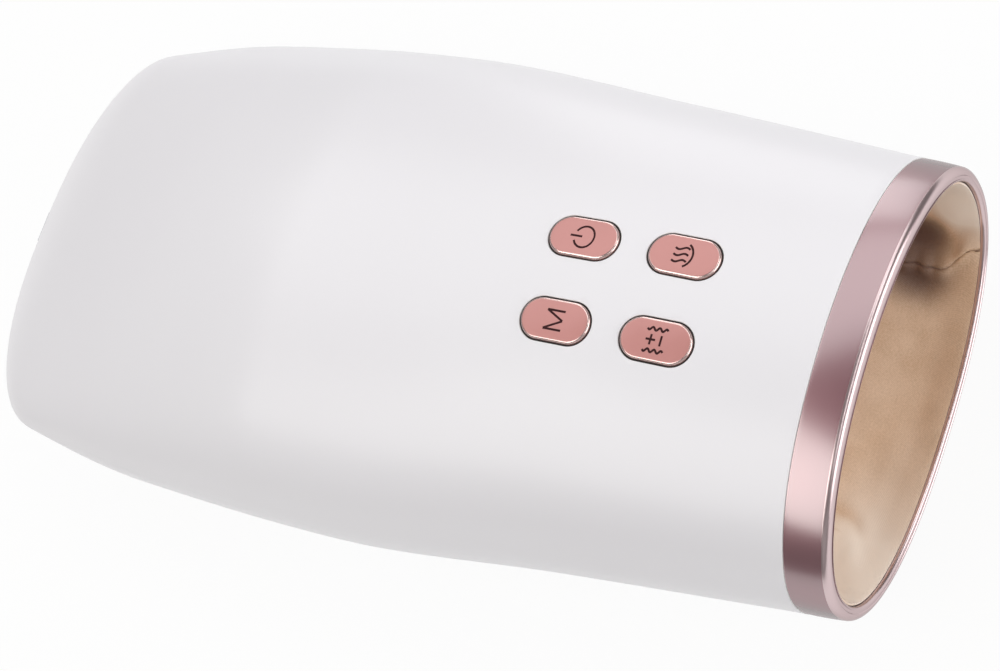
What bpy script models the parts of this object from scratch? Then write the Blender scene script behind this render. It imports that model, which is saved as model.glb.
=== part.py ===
"""Hand massager: an air-compression pocket for one hand, in a gloss two-part hull.

Metres, +Z up. The open mouth faces -Y, the closed nose faces +Y, and the hull stands on four
rubber feet at Z = 0, with the origin under its middle. A depth is a place along the hull,
counted from the mouth rim towards the nose. A level is a height over the surface it stands on.
"""
import math

import bmesh
import bpy
from mathutils import Matrix, Vector

# Driving sizes of the hull
LENGTH = 0.273
RING_HALF_WIDTH = 0.0577
RING_HEIGHT = 0.0686
RING_BAND = 0.0112
RING_FLARE = 0.0007
RING_RISE = 0.0007
FOOT_STAND = 0.0015
SHELL_WALL = 0.0026
PARTING_HEIGHT = 0.0220
CLEARANCE = 0.0003
OVERRUN = 0.0060

# The hull's half widths and tops at four stations, and how its nose rounds off over its last stretch
STATION_SHARES = (0.28, 0.52, 0.76, 1.0)
HULL_HALF_WIDTHS = (0.0632, 0.0682, 0.0655, 0.0540)
HULL_TOPS = (0.0721, 0.0693, 0.0658, 0.0610)
BELT_SHARE = 0.4965
SIDE_ROUND_LENGTH = 0.0237
SIDE_ROUND_POWER = 2.25
ROOF_ROUND_LENGTH = 0.1095
ROOF_ROUND_POWER = 1.387
FLOOR_ROUND_LENGTH = 0.0670
FLOOR_ROUND_POWER = 2.2
ROOF_POWER = 2.057
FLOOR_POWER = 2.277

# How finely the curved walls are cut into facets
AROUND = 36
BODY_STEPS = 7
NOSE_STEPS = 9
NOSE_CROWDING = 2.2
ROUND_SIDES = 12
ROUNDER_SIDES = 20
ARC_STEPS = 3
SHARP_ANGLE = math.radians(35.0)
BEVEL_ANGLE = math.radians(40.0)
MERGE_DISTANCE = 0.00001

for old in list(bpy.data.objects):
    bpy.data.objects.remove(old, do_unlink=True)

PARTS = bpy.data.collections.new("hand_massager")
CUTTERS = bpy.data.collections.new("cutters")
for group in (PARTS, CUTTERS):
    bpy.context.scene.collection.children.link(group)


def material(name, colour, roughness, metallic=0.0):
    made = bpy.data.materials.new(name)
    made.use_nodes = True
    shader = made.node_tree.nodes["Principled BSDF"]
    shader.inputs["Base Color"].default_value = (*colour, 1.0)
    shader.inputs["Roughness"].default_value = roughness
    shader.inputs["Metallic"].default_value = metallic
    return made


PEARL = material("pearl_gloss_plastic", (0.86, 0.84, 0.86), 0.18)
ROSE_SATIN = material("rose_gold_satin", (0.62, 0.40, 0.40), 0.32, 0.85)
ROSE_KEY = material("rose_gold_key", (0.72, 0.45, 0.44), 0.28, 0.80)
DARK_PLASTIC = material("dark_plastic", (0.10, 0.10, 0.11), 0.55)
INNER_PLASTIC = material("white_inner_plastic", (0.75, 0.75, 0.74), 0.50)
TAN_SATIN = material("tan_satin", (0.60, 0.47, 0.34), 0.55)
BLACK_RUBBER = material("black_rubber", (0.04, 0.04, 0.04), 0.75)
AIRBAG_FILM = material("airbag_film", (0.20, 0.22, 0.26), 0.45)
FOAM = material("foam", (0.25, 0.25, 0.25), 0.90)
HEAT_FILM = material("heat_film", (0.70, 0.42, 0.12), 0.35)
BOARD_GREEN = material("board_green", (0.05, 0.28, 0.12), 0.45)
STEEL = material("steel", (0.62, 0.62, 0.62), 0.30, 1.0)
CELL_WRAP = material("cell_wrap", (0.08, 0.22, 0.45), 0.40)
CLEAR_TUBE = material("silicone_tube", (0.80, 0.80, 0.78), 0.40)


def finish_object(obj, look=None, cutter=False):
    """Link the object, give it its material, and hide it when it is a cutter."""
    (CUTTERS if cutter else PARTS).objects.link(obj)
    if look:
        obj.data.materials.append(look)
    if cutter:
        obj.hide_render = True
        obj.display_type = "WIRE"
    return obj


def mesh_object(name, bm, look=None, cutter=False, closed=True):
    if closed:
        bmesh.ops.recalc_face_normals(bm, faces=bm.faces)
    data = bpy.data.meshes.new(name)
    bm.to_mesh(data)
    bm.free()
    data.shade_smooth()
    data.set_sharp_from_angle(angle=SHARP_ANGLE)
    return finish_object(bpy.data.objects.new(name, data), look, cutter)


def boolean(target, other, operation):
    cut = target.modifiers.new(other.name, "BOOLEAN")
    cut.object = other
    cut.operation = operation
    cut.solver = "EXACT"


def add_box(bm, low, high):
    """A box between two corners, added to the mesh."""
    size = [b - a for a, b in zip(low, high)]
    middle = [(a + b) / 2.0 for a, b in zip(low, high)]
    matrix = Matrix.Translation(middle) @ Matrix.Diagonal((*size, 1.0))
    return bmesh.ops.create_cube(bm, size=1.0, matrix=matrix)["verts"]


def add_rod(bm, start, end, radius, sides=ROUND_SIDES, end_radius=None):
    """A closed cylinder or cone between two points, added to the mesh."""
    way = Vector(end) - Vector(start)
    turn = Vector((0.0, 0.0, 1.0)).rotation_difference(way).to_matrix().to_4x4()
    matrix = Matrix.Translation((Vector(start) + Vector(end)) / 2.0) @ turn
    last = radius if end_radius is None else end_radius
    made = bmesh.ops.create_cone(
        bm, cap_ends=True, segments=sides, radius1=radius, radius2=last, depth=way.length, matrix=matrix
    )
    return made["verts"]


def box_object(name, low, high, look=None, cutter=False, bevel=0.0):
    bm = bmesh.new()
    add_box(bm, low, high)
    obj = mesh_object(name, bm, look, cutter)
    if bevel:
        soften(obj, bevel)
    return obj


def soften(obj, width, segments=1):
    round_off = obj.modifiers.new("soft_edges", "BEVEL")
    round_off.width = width
    round_off.segments = segments
    round_off.limit_method = "ANGLE"
    round_off.angle_limit = BEVEL_ANGLE


def rods_object(name, rods, look=None, cutter=False, sides=ROUND_SIDES):
    """Several rods as one mesh, each given as start, end and radius."""
    bm = bmesh.new()
    for start, end, radius in rods:
        add_rod(bm, start, end, radius, sides)
    return mesh_object(name, bm, look, cutter)


def eased(places, values, place):
    """A smooth curve through the values that never swings past them."""
    spans = [b - a for a, b in zip(places, places[1:])]
    slopes = [(b - a) / s for a, b, s in zip(values, values[1:], spans)]
    tangents = [slopes[0]]
    for before, after in zip(slopes, slopes[1:]):
        level = 2.0 * before * after / (before + after) if before * after > 0.0 else 0.0
        tangents.append(level)
    tangents.append(slopes[-1])
    index = 0
    while index < len(spans) - 1 and place > places[index + 1]:
        index += 1
    t = min(max((place - places[index]) / spans[index], 0.0), 1.0)
    share = t * t * (3.0 - 2.0 * t)
    bend = tangents[index] * t * (1.0 - t) ** 2 - tangents[index + 1] * t * t * (1.0 - t)
    return values[index] * (1.0 - share) + values[index + 1] * share + bend * spans[index]


def closing(depth, length, inset, power):
    """1 before the rounding starts, falling to 0 at the nose on a superellipse."""
    start = LENGTH - length
    share = min(max((depth - start) / (length - inset), 0.0), 1.0)
    return (1.0 - share**power) ** (1.0 / power)


def hull_outline(depth, inset=0.0):
    """Half width, top, bottom and belt level of the hull at a depth, drawn in by the inset."""
    if depth < RING_BAND:
        share = max(depth, 0.0) / RING_BAND
        half = RING_HALF_WIDTH + RING_FLARE * share
        top = RING_HEIGHT + RING_RISE * share
    else:
        places = [RING_BAND] + [share * LENGTH for share in STATION_SHARES]
        half = eased(places, (RING_HALF_WIDTH + RING_FLARE, *HULL_HALF_WIDTHS), depth)
        top = eased(places, (RING_HEIGHT + RING_RISE, *HULL_TOPS), depth)
    belt = BELT_SHARE * top
    roof = (top - belt - inset) * closing(depth, ROOF_ROUND_LENGTH, inset, ROOF_ROUND_POWER)
    floor = (belt - inset) * closing(depth, FLOOR_ROUND_LENGTH, inset, FLOOR_ROUND_POWER)
    half = (half - inset) * closing(depth, SIDE_ROUND_LENGTH, inset, SIDE_ROUND_POWER)
    level = FOOT_STAND + belt
    return half, level + roof, level - floor, level


def blend_outlines(first, second, share):
    return tuple(a * (1.0 - share) + b * share for a, b in zip(first, second))


def outline_point(outline, angle):
    """The point of a superellipse outline at an angle, counted from +X over the roof."""
    half, top, bottom, belt = outline
    across, up = math.cos(angle), math.sin(angle)
    power = 2.0 / (ROOF_POWER if up >= 0.0 else FLOOR_POWER)
    reach = (top - belt) if up >= 0.0 else (belt - bottom)
    x = math.copysign(abs(across) ** power, across) * half
    return x, belt + math.copysign(abs(up) ** power, up) * reach


def roof_level(outline, x):
    half, top, _, belt = outline
    share = min(abs(x) / half, 1.0)
    return belt + (top - belt) * (1.0 - share**ROOF_POWER) ** (1.0 / ROOF_POWER)


def floor_level(outline, x):
    half, _, bottom, belt = outline
    share = min(abs(x) / half, 1.0)
    return belt - (belt - bottom) * (1.0 - share**FLOOR_POWER) ** (1.0 / FLOOR_POWER)


def along(depth):
    """World Y of a depth from the mouth rim."""
    return depth - LENGTH / 2.0


def outline_ring(bm, outline, depth, around=AROUND):
    ring = []
    for step in range(around):
        x, z = outline_point(outline, 2.0 * math.pi * step / around)
        ring.append(bm.verts.new((x, along(depth), z)))
    return ring


def bridge(bm, first, second):
    for index in range(len(first)):
        bm.faces.new((first[index - 1], first[index], second[index], second[index - 1]))


def hull_depths(start, nose):
    """Even steps along the body, with one at the spigot's end, then ever closer ones round the nose."""
    body_end = LENGTH - ROOF_ROUND_LENGTH
    depths = [start] + [SPIGOT_END + (body_end - SPIGOT_END) * step / BODY_STEPS for step in range(BODY_STEPS)]
    for step in range(NOSE_STEPS):
        left = (1.0 - step / NOSE_STEPS) ** NOSE_CROWDING
        depths.append(nose - (nose - body_end) * left)
    return depths


def hull_solid(name, start, inset):
    """A closed solid of the hull's shape from a depth to the nose, drawn in by the inset."""
    bm = bmesh.new()
    nose = LENGTH - inset
    rings = [outline_ring(bm, hull_outline(d, inset), d) for d in hull_depths(start, nose)]
    for first, second in zip(rings, rings[1:]):
        bridge(bm, first, second)
    bm.faces.new(rings[0])
    tip = bm.verts.new((0.0, along(nose), hull_outline(nose, inset)[3]))
    for index in range(AROUND):
        bm.faces.new((rings[-1][index - 1], rings[-1][index], tip))
    return mesh_object(name, bm, cutter=True)


def band_object(name, profile, look, around=AROUND):
    """A closed band round the mouth: a profile of depths and insets carried along the outline."""
    bm = bmesh.new()
    rings = [outline_ring(bm, inset_outline(depth, inset), depth, around) for depth, inset in profile]
    for first, second in zip(rings, rings[1:] + rings[:1]):
        bridge(bm, first, second)
    return mesh_object(name, bm, look)


def inset_outline(depth, inset):
    half, top, bottom, belt = hull_outline(depth)
    return half - inset, top - inset, bottom + inset, belt


def corner_arc(depth, inset, radius, first, last):
    """Profile points on a rounded corner, between two angles in quarter turns."""
    points = []
    for step in range(ARC_STEPS + 1):
        angle = (first + (last - first) * step / ARC_STEPS) * math.pi / 2.0
        points.append((depth + radius * math.cos(angle), inset + radius * math.sin(angle)))
    return points


# Front ring, with a rounded rim, an inner lip, a seat for the liner hoop and a spigot into the hull
RIM_ROUND = 0.0016
LIP_REACH = 0.0036
LIP_ROUND = 0.0008
LIP_DEPTH = 0.0030
HOOP_SEAT_INSET = 0.0022
HOOP_SEAT_END = 0.0092
SPIGOT_WALL = 0.0013
SPIGOT_LENGTH = 0.0058
SPIGOT_OUTER = SHELL_WALL + CLEARANCE
SPIGOT_INNER = SPIGOT_OUTER + SPIGOT_WALL
SPIGOT_END = RING_BAND + SPIGOT_LENGTH


def front_ring():
    profile = [(RING_BAND, 0.0)]
    profile += corner_arc(RIM_ROUND, RIM_ROUND, RIM_ROUND, -1.0, -2.0)
    profile += corner_arc(LIP_ROUND, LIP_REACH - LIP_ROUND, LIP_ROUND, 2.0, 1.0)
    profile += [
        (LIP_DEPTH, LIP_REACH),
        (LIP_DEPTH, HOOP_SEAT_INSET),
        (HOOP_SEAT_END, HOOP_SEAT_INSET),
        (HOOP_SEAT_END, SPIGOT_INNER),
        (SPIGOT_END, SPIGOT_INNER),
        (SPIGOT_END, SPIGOT_OUTER),
        (RING_BAND, SPIGOT_OUTER),
    ]
    return band_object("front_ring", profile, ROSE_SATIN)


# Liner hoop, which clamps the liner's edge behind the ring's lip
HOOP_WALL = 0.0013
HOOP_INSET = HOOP_SEAT_INSET + CLEARANCE
HOOP_START = LIP_DEPTH + CLEARANCE
HOOP_END = HOOP_SEAT_END - CLEARANCE


def liner_hoop():
    inner = HOOP_INSET + HOOP_WALL
    profile = [(HOOP_START, HOOP_INSET), (HOOP_START, inner), (HOOP_END, inner), (HOOP_END, HOOP_INSET)]
    return band_object("liner_hoop", profile, DARK_PLASTIC)


# Buttons: four pills in two rows and two files, each with a flange under the roof and a stem
BUTTON_OFFSET = 0.0111
BUTTON_ROW_DEPTHS = {"front": 0.0510, "rear": 0.0784}
BUTTON_LENGTH = 0.0189
BUTTON_WIDTH = 0.0106
BUTTON_PROUD = 0.0006
BUTTON_BEVEL = 0.0007
BUTTON_GAP = 0.00035
BUTTON_TRAVEL = 0.0006
FLANGE_LIP = 0.0011
FLANGE_THICKNESS = 0.0010
FLANGE_SEAT = 0.0006
STEM_RADIUS = 0.0018
STEM_LENGTH = 0.0008
PILL_STEPS = 6
BUTTONS = {
    "power_button": (1.0, "rear"),
    "heat_button": (1.0, "front"),
    "mode_button": (-1.0, "rear"),
    "level_button": (-1.0, "front"),
}


def pill_ring(bm, length, width, z):
    """A stadium outline along Y at a height."""
    radius = width / 2.0
    straight = length / 2.0 - radius
    ring = []
    for side, start in ((1.0, 0.0), (-1.0, math.pi)):
        for step in range(PILL_STEPS + 1):
            angle = start + math.pi * step / PILL_STEPS
            ring.append(bm.verts.new((radius * math.cos(angle), side * straight + radius * math.sin(angle), z)))
    return ring


def pill_stack(name, layers, look=None, cutter=False):
    """A solid of pill outlines stacked from the lowest layer up, each a length, width and height."""
    bm = bmesh.new()
    rings = [pill_ring(bm, *layer) for layer in layers]
    for first, second in zip(rings, rings[1:]):
        bridge(bm, first, second)
    bm.faces.new(rings[0])
    bm.faces.new(rings[-1])
    return mesh_object(name, bm, look, cutter)


def roof_lean(depth, x):
    """How the roof leans at a place: its turns about X and about Y."""
    reach = BUTTON_WIDTH / 2.0
    across = roof_level(hull_outline(depth), x + reach) - roof_level(hull_outline(depth), x - reach)
    back = roof_level(hull_outline(depth + reach), x) - roof_level(hull_outline(depth - reach), x)
    return math.atan2(back, 2.0 * reach), -math.atan2(across, 2.0 * reach)


def button_place(side, row):
    depth = BUTTON_ROW_DEPTHS[row]
    x = side * BUTTON_OFFSET
    return x, along(depth), roof_level(hull_outline(depth), x), (*roof_lean(depth, x), 0.0)


FLANGE_TOP = -SHELL_WALL - FLANGE_SEAT
FLANGE_BOTTOM = FLANGE_TOP - FLANGE_THICKNESS


def lowest_button_roof():
    return min(button_place(side, row)[2] for side, row in BUTTONS.values())


# Key board under the buttons, with a switch under each stem and four posts that it hangs from
SWITCH_SIDE = 0.0060
SWITCH_HEIGHT = 0.0020
BOARD_THICKNESS = 0.0014
KEY_BOARD_HALF_WIDTH = 0.0245
KEY_BOARD_MARGIN = 0.0130
KEY_POST_RADIUS = 0.0027
KEY_POST_OFFSET = 0.0208
KEY_POST_MARGIN = 0.0095
SCREW_RADIUS = 0.0010
SCREW_HEAD_RADIUS = 0.0020
SCREW_HEAD_HEIGHT = 0.0013
SCREW_LENGTH = 0.0060
SCREW_SIDES = 8
SCREW_CROWN_SHARE = 0.7
SWITCH_TOP = lowest_button_roof() + FLANGE_BOTTOM - STEM_LENGTH - BUTTON_TRAVEL - CLEARANCE
KEY_BOARD_TOP = SWITCH_TOP - SWITCH_HEIGHT
KEY_BOARD_BOTTOM = KEY_BOARD_TOP - BOARD_THICKNESS
KEY_BOARD_FRONT = BUTTON_ROW_DEPTHS["front"] - KEY_BOARD_MARGIN
KEY_BOARD_REAR = BUTTON_ROW_DEPTHS["rear"] + KEY_BOARD_MARGIN
KEY_POSTS = [
    (side * KEY_POST_OFFSET, depth)
    for side in (1.0, -1.0)
    for depth in (KEY_BOARD_FRONT + KEY_POST_MARGIN / 2.0, KEY_BOARD_REAR - KEY_POST_MARGIN / 2.0)
]


def button(name, side, row):
    x, y, z, lean = button_place(side, row)
    bevel_length = BUTTON_LENGTH - 2.0 * BUTTON_BEVEL
    bevel_width = BUTTON_WIDTH - 2.0 * BUTTON_BEVEL
    wide = 2.0 * FLANGE_LIP
    layers = [
        (BUTTON_LENGTH + wide, BUTTON_WIDTH + wide, FLANGE_BOTTOM),
        (BUTTON_LENGTH + wide, BUTTON_WIDTH + wide, FLANGE_TOP),
        (BUTTON_LENGTH, BUTTON_WIDTH, FLANGE_TOP),
        (BUTTON_LENGTH, BUTTON_WIDTH, BUTTON_PROUD - BUTTON_BEVEL),
        (bevel_length, bevel_width, BUTTON_PROUD),
    ]
    obj = pill_stack(name, layers, ROSE_KEY)
    stem_end = SWITCH_TOP + BUTTON_TRAVEL + CLEARANCE - z
    start = (0.0, 0.0, FLANGE_BOTTOM + FLANGE_THICKNESS / 2.0)
    stem = rods_object(name + "_stem", [((0.0, 0.0, stem_end), start, STEM_RADIUS)], cutter=True)
    boolean(obj, stem, "UNION")
    for piece in (obj, stem):
        piece.location = (x, y, z)
        piece.rotation_euler = lean
    return obj


def button_hole(name, side, row):
    x, y, z, lean = button_place(side, row)
    wide = 2.0 * BUTTON_GAP
    reach = SHELL_WALL + OVERRUN
    ends = (-reach, OVERRUN)
    layers = [(BUTTON_LENGTH + wide, BUTTON_WIDTH + wide, end) for end in ends]
    hole = pill_stack(name + "_hole", layers, cutter=True)
    hole.location = (x, y, z)
    hole.rotation_euler = lean
    return hole


def key_board():
    bm = bmesh.new()
    low = (-KEY_BOARD_HALF_WIDTH, along(KEY_BOARD_FRONT), KEY_BOARD_BOTTOM)
    high = (KEY_BOARD_HALF_WIDTH, along(KEY_BOARD_REAR), KEY_BOARD_TOP)
    add_box(bm, low, high)
    board = mesh_object("key_board", bm, BOARD_GREEN)
    bm = bmesh.new()
    half = SWITCH_SIDE / 2.0
    for side, row in BUTTONS.values():
        x, y, _, _ = button_place(side, row)
        add_box(bm, (x - half, y - half, KEY_BOARD_TOP - BOARD_THICKNESS / 2.0), (x + half, y + half, SWITCH_TOP))
    boolean(board, mesh_object("switches", bm, cutter=True), "UNION")
    holes = [
        ((x, along(d), KEY_BOARD_BOTTOM - OVERRUN), (x, along(d), KEY_BOARD_TOP + OVERRUN), SCREW_RADIUS + CLEARANCE)
        for x, d in KEY_POSTS
    ]
    boolean(board, rods_object("key_board_holes", holes, cutter=True), "DIFFERENCE")
    return board


def screw(name, place, up, length=SCREW_LENGTH, radius=SCREW_RADIUS, head=SCREW_HEAD_RADIUS):
    """A pan-head screw turned from its profile, its head's underside at the place."""
    height = SCREW_HEAD_HEIGHT
    outline = [
        (0.0, height),
        (head * SCREW_CROWN_SHARE, height),
        (head, height / 2.0),
        (head, 0.0),
        (radius, 0.0),
        (radius, radius - length),
        (0.0, -length),
    ]
    data = bpy.data.meshes.new(name)
    points = [(x, 0.0, z) for x, z in outline]
    data.from_pydata(points, [(i, i + 1) for i in range(len(points) - 1)], [])
    obj = finish_object(bpy.data.objects.new(name, data), STEEL)
    turn = obj.modifiers.new("turned", "SCREW")
    turn.steps = turn.render_steps = SCREW_SIDES
    turn.use_merge_vertices = True
    turn.merge_threshold = MERGE_DISTANCE
    obj.location = place
    obj.rotation_euler = (math.pi if up else 0.0, 0.0, 0.0)
    return obj


# Inner sleeve: an upper and a lower frame that the liner lies in, flared out to meet the ring
SLEEVE_WALL = 0.0015
SLEEVE_SIDE_ROOM = 0.0040
SLEEVE_BOTTOM = 0.0090
REAR_ROOM = 0.1010
SLEEVE_FRONT = SPIGOT_END + CLEARANCE
FUNNEL_END = KEY_BOARD_FRONT - CLEARANCE
SLEEVE_END = LENGTH - REAR_ROOM
SLEEVE_HALF_WIDTH = hull_outline(FUNNEL_END, SHELL_WALL)[0] - SLEEVE_SIDE_ROOM
SLEEVE_TOP = KEY_BOARD_BOTTOM - SCREW_HEAD_HEIGHT - 2.0 * CLEARANCE
FUNNEL_STEPS = 4


def sleeve_belt():
    return hull_outline(FUNNEL_END)[3]


def sleeve_outline(depth, inset=0.0):
    """Outer outline of the sleeve, flush with the hull's inside at the ring."""
    front = inset_outline(SLEEVE_FRONT, SPIGOT_OUTER)
    deep = (SLEEVE_HALF_WIDTH, SLEEVE_TOP, SLEEVE_BOTTOM, sleeve_belt())
    t = min(max((depth - SLEEVE_FRONT) / (FUNNEL_END - SLEEVE_FRONT), 0.0), 1.0)
    half, top, bottom, belt = blend_outlines(front, deep, t * t * (3.0 - 2.0 * t))
    return half - inset, top - inset, bottom + inset, belt


def half_shell(name, outline_at, depths, roof, wall, look):
    """Half of a pocket, over or under the belt, closed at its far end, its wall inside the outline."""
    bm = bmesh.new()
    side = 1.0 if roof else -1.0
    steps = AROUND // 2
    rows = []
    for depth in depths:
        half, top, bottom, belt = outline_at(depth)
        reach = (top if roof else bottom) - belt
        row = []
        for step in range(steps + 1):
            x, z = outline_point((half, top, bottom, belt), side * math.pi * step / steps)
            part_way = 1.0 - (z - belt) / reach
            row.append(bm.verts.new((x, along(depth), z + side * CLEARANCE * part_way)))
        rows.append(row)
    for first, second in zip(rows, rows[1:]):
        for index in range(steps):
            bm.faces.new((first[index], first[index + 1], second[index + 1], second[index]))
    bm.faces.new(rows[-1])
    bmesh.ops.recalc_face_normals(bm, faces=bm.faces)
    bm.faces.ensure_lookup_table()
    if bm.faces[steps // 2].normal.z * side < 0.0:
        bmesh.ops.reverse_faces(bm, faces=bm.faces)
    obj = mesh_object(name, bm, look, closed=False)
    thick = obj.modifiers.new("wall", "SOLIDIFY")
    thick.thickness = wall
    thick.offset = -1.0
    thick.use_even_offset = True
    return obj


def sleeve_depths(front, end):
    depths = [front + (FUNNEL_END - front) * step / FUNNEL_STEPS for step in range(FUNNEL_STEPS)]
    return depths + [FUNNEL_END, end]


# Lugs that join the two frames at the belt, outside the sleeve
LUG_REAR_ROOM = 0.0160
LUG_PITCH = 0.0480
LUG_DEPTHS = (SLEEVE_END - LUG_REAR_ROOM - LUG_PITCH, SLEEVE_END - LUG_REAR_ROOM)
LUG_REACH = 0.0068
LUG_LENGTH = 0.0110
LUG_HEIGHT = 0.0030
FRAME_SCREW_OFFSET = SLEEVE_HALF_WIDTH + LUG_REACH / 2.0 + CLEARANCE
FRAME_SCREW_LENGTH = 2.0 * LUG_HEIGHT + 2.0 * CLEARANCE + SCREW_RADIUS


def frame(name, roof):
    obj = half_shell(name, sleeve_outline, sleeve_depths(SLEEVE_FRONT, SLEEVE_END), roof, SLEEVE_WALL, INNER_PLASTIC)
    bm = bmesh.new()
    side = 1.0 if roof else -1.0
    near = sleeve_belt() + side * CLEARANCE
    far = near + side * LUG_HEIGHT
    inner = SLEEVE_HALF_WIDTH - SLEEVE_WALL / 2.0
    outer = SLEEVE_HALF_WIDTH + LUG_REACH
    for depth in LUG_DEPTHS:
        front, rear = along(depth - LUG_LENGTH / 2.0), along(depth + LUG_LENGTH / 2.0)
        add_box(bm, (inner, front, min(near, far)), (outer, rear, max(near, far)))
        add_box(bm, (-outer, front, min(near, far)), (-inner, rear, max(near, far)))
    boolean(obj, mesh_object(name + "_lugs", bm, cutter=True), "UNION")
    return obj


def frame_screw_places():
    return [(side * FRAME_SCREW_OFFSET, along(depth)) for side in (1.0, -1.0) for depth in LUG_DEPTHS]


# What lies in the sleeve's roof: airbag and press pad
AIRBAG_THICKNESS = 0.0022
AIRBAG_HALF_WIDTH = 0.0340
AIRBAG_FRONT = 0.0480
AIRBAG_REAR_ROOM = 0.0160
AIRBAG_REAR = SLEEVE_END - AIRBAG_REAR_ROOM
PAD_CROWN = 0.0038
PAD_MARGIN = 0.0020
PAD_COLUMNS = 8
PAD_ROWS = 3

# What lies on the sleeve's floor: palm foam, heating film and palm plate with its nubs
PALM_HALF_WIDTH = 0.0300
PALM_FRONT = 0.0500
PALM_REAR_ROOM = 0.0220
PALM_REAR = SLEEVE_END - PALM_REAR_ROOM
PALM_FOAM_THICKNESS = 0.0025
HEAT_FILM_THICKNESS = 0.0004
PALM_PLATE_THICKNESS = 0.0014
NUB_RADIUS = 0.0032
NUB_HEIGHT = 0.0014
NUB_FILES = 3
NUB_ROWS = 5

# Liner: two satin panels, from behind the ring's lip to the pocket's end
LINER_WALL = 0.0008
LINER_INSET = SPIGOT_INNER + CLEARANCE
LINER_SIDE_GAP = 0.0006
LINER_FRONT = HOOP_START
LINER_END = SLEEVE_END - SLEEVE_WALL - CLEARANCE
LINER_TOP = SLEEVE_TOP - SLEEVE_WALL - AIRBAG_THICKNESS - PAD_CROWN - 3.0 * CLEARANCE
PALM_STACK = PALM_FOAM_THICKNESS + HEAT_FILM_THICKNESS + PALM_PLATE_THICKNESS + NUB_HEIGHT + 4.0 * CLEARANCE
LINER_FLOOR_LIFT = 0.0016
LINER_BOTTOM = SLEEVE_BOTTOM + SLEEVE_WALL + PALM_STACK + LINER_FLOOR_LIFT


def liner_outline(depth, inset=0.0):
    half = SLEEVE_HALF_WIDTH - SLEEVE_WALL - LINER_SIDE_GAP
    deep = (half, LINER_TOP, LINER_BOTTOM, sleeve_belt())
    t = min(max((depth - SPIGOT_END) / (FUNNEL_END - SPIGOT_END), 0.0), 1.0)
    near = inset_outline(min(depth, SPIGOT_END), LINER_INSET)
    half, top, bottom, belt = blend_outlines(near, deep, t * t * (3.0 - 2.0 * t))
    return half - inset, top - inset, bottom + inset, belt


def slab(name, half_width, front, rear, bottom, top, look, columns=PAD_COLUMNS, rows=PAD_ROWS):
    """A soft or thin sheet between two curved levels, each a function of depth and x."""
    bm = bmesh.new()
    size = (half_width, (rear - front) / 2.0, 1.0)
    middle = (front + rear) / 2.0
    matrix = Matrix.Translation((0.0, middle, 0.0)) @ Matrix.Diagonal((*size, 1.0))
    bmesh.ops.create_grid(bm, x_segments=columns, y_segments=rows, size=1.0, matrix=matrix)
    raised = bmesh.ops.extrude_face_region(bm, geom=list(bm.faces))["geom"]
    upper = {item for item in raised if isinstance(item, bmesh.types.BMVert)}
    for vert in bm.verts:
        level = top if vert in upper else bottom
        depth = vert.co.y
        vert.co.z = level(depth, vert.co.x)
        vert.co.y = along(depth)
    return mesh_object(name, bm, look)


def sleeve_roof(depth, x):
    return roof_level(sleeve_outline(depth, SLEEVE_WALL), x)


def sleeve_floor(depth, x):
    return floor_level(sleeve_outline(depth, SLEEVE_WALL), x)


def airbag_top(depth, x):
    return sleeve_roof(depth, x) - CLEARANCE


def airbag_bottom(depth, x):
    return airbag_top(depth, x) - AIRBAG_THICKNESS


def pad_top(depth, x):
    return airbag_bottom(depth, x) - CLEARANCE


def pad_bottom(depth, x):
    return roof_level(liner_outline(depth), x) + CLEARANCE


def foam_bottom(depth, x):
    return sleeve_floor(depth, x) + CLEARANCE


def foam_top(depth, x):
    return foam_bottom(depth, x) + PALM_FOAM_THICKNESS


def film_bottom(depth, x):
    return foam_top(depth, x) + CLEARANCE


def film_top(depth, x):
    return film_bottom(depth, x) + HEAT_FILM_THICKNESS


def plate_bottom(depth, x):
    return film_top(depth, x) + CLEARANCE


def plate_top(depth, x):
    return plate_bottom(depth, x) + PALM_PLATE_THICKNESS


def palm_plate():
    plate = slab("palm_plate", PALM_HALF_WIDTH, PALM_FRONT, PALM_REAR, plate_bottom, plate_top, DARK_PLASTIC)
    bm = bmesh.new()
    for file in range(NUB_FILES):
        x = PALM_HALF_WIDTH * (2.0 * file / (NUB_FILES - 1) - 1.0) * (1.0 - 2.0 * NUB_RADIUS / PALM_HALF_WIDTH)
        for row in range(NUB_ROWS):
            depth = PALM_FRONT + (PALM_REAR - PALM_FRONT) * (row + 0.5) / NUB_ROWS
            level = plate_top(depth, x)
            start = (x, along(depth), level - PALM_PLATE_THICKNESS / 2.0)
            add_rod(bm, start, (x, along(depth), level + NUB_HEIGHT), NUB_RADIUS, 8, NUB_RADIUS / 2.0)
    boolean(plate, mesh_object("palm_nubs", bm, cutter=True), "UNION")
    return plate


# Feet under the hull, each in a seat moulded on the bottom shell
FOOT_RADIUS = 0.0065
FOOT_HEIGHT = 0.0026
FOOT_SEAT_WALL = 0.0020
FOOT_SEAT_LEVEL = 0.0008
FOOT_OFFSET = 0.0310
FOOT_FRONT_DEPTH = 0.0400
FOOT_REAR_ROOM = 0.0510
FOOT_DEPTHS = (FOOT_FRONT_DEPTH, LENGTH - FOOT_REAR_ROOM)
FOOT_SEAT_RADIUS = FOOT_RADIUS + CLEARANCE + FOOT_SEAT_WALL
FEET = [(side * FOOT_OFFSET, depth) for depth in FOOT_DEPTHS for side in (-1.0, 1.0)]

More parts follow.
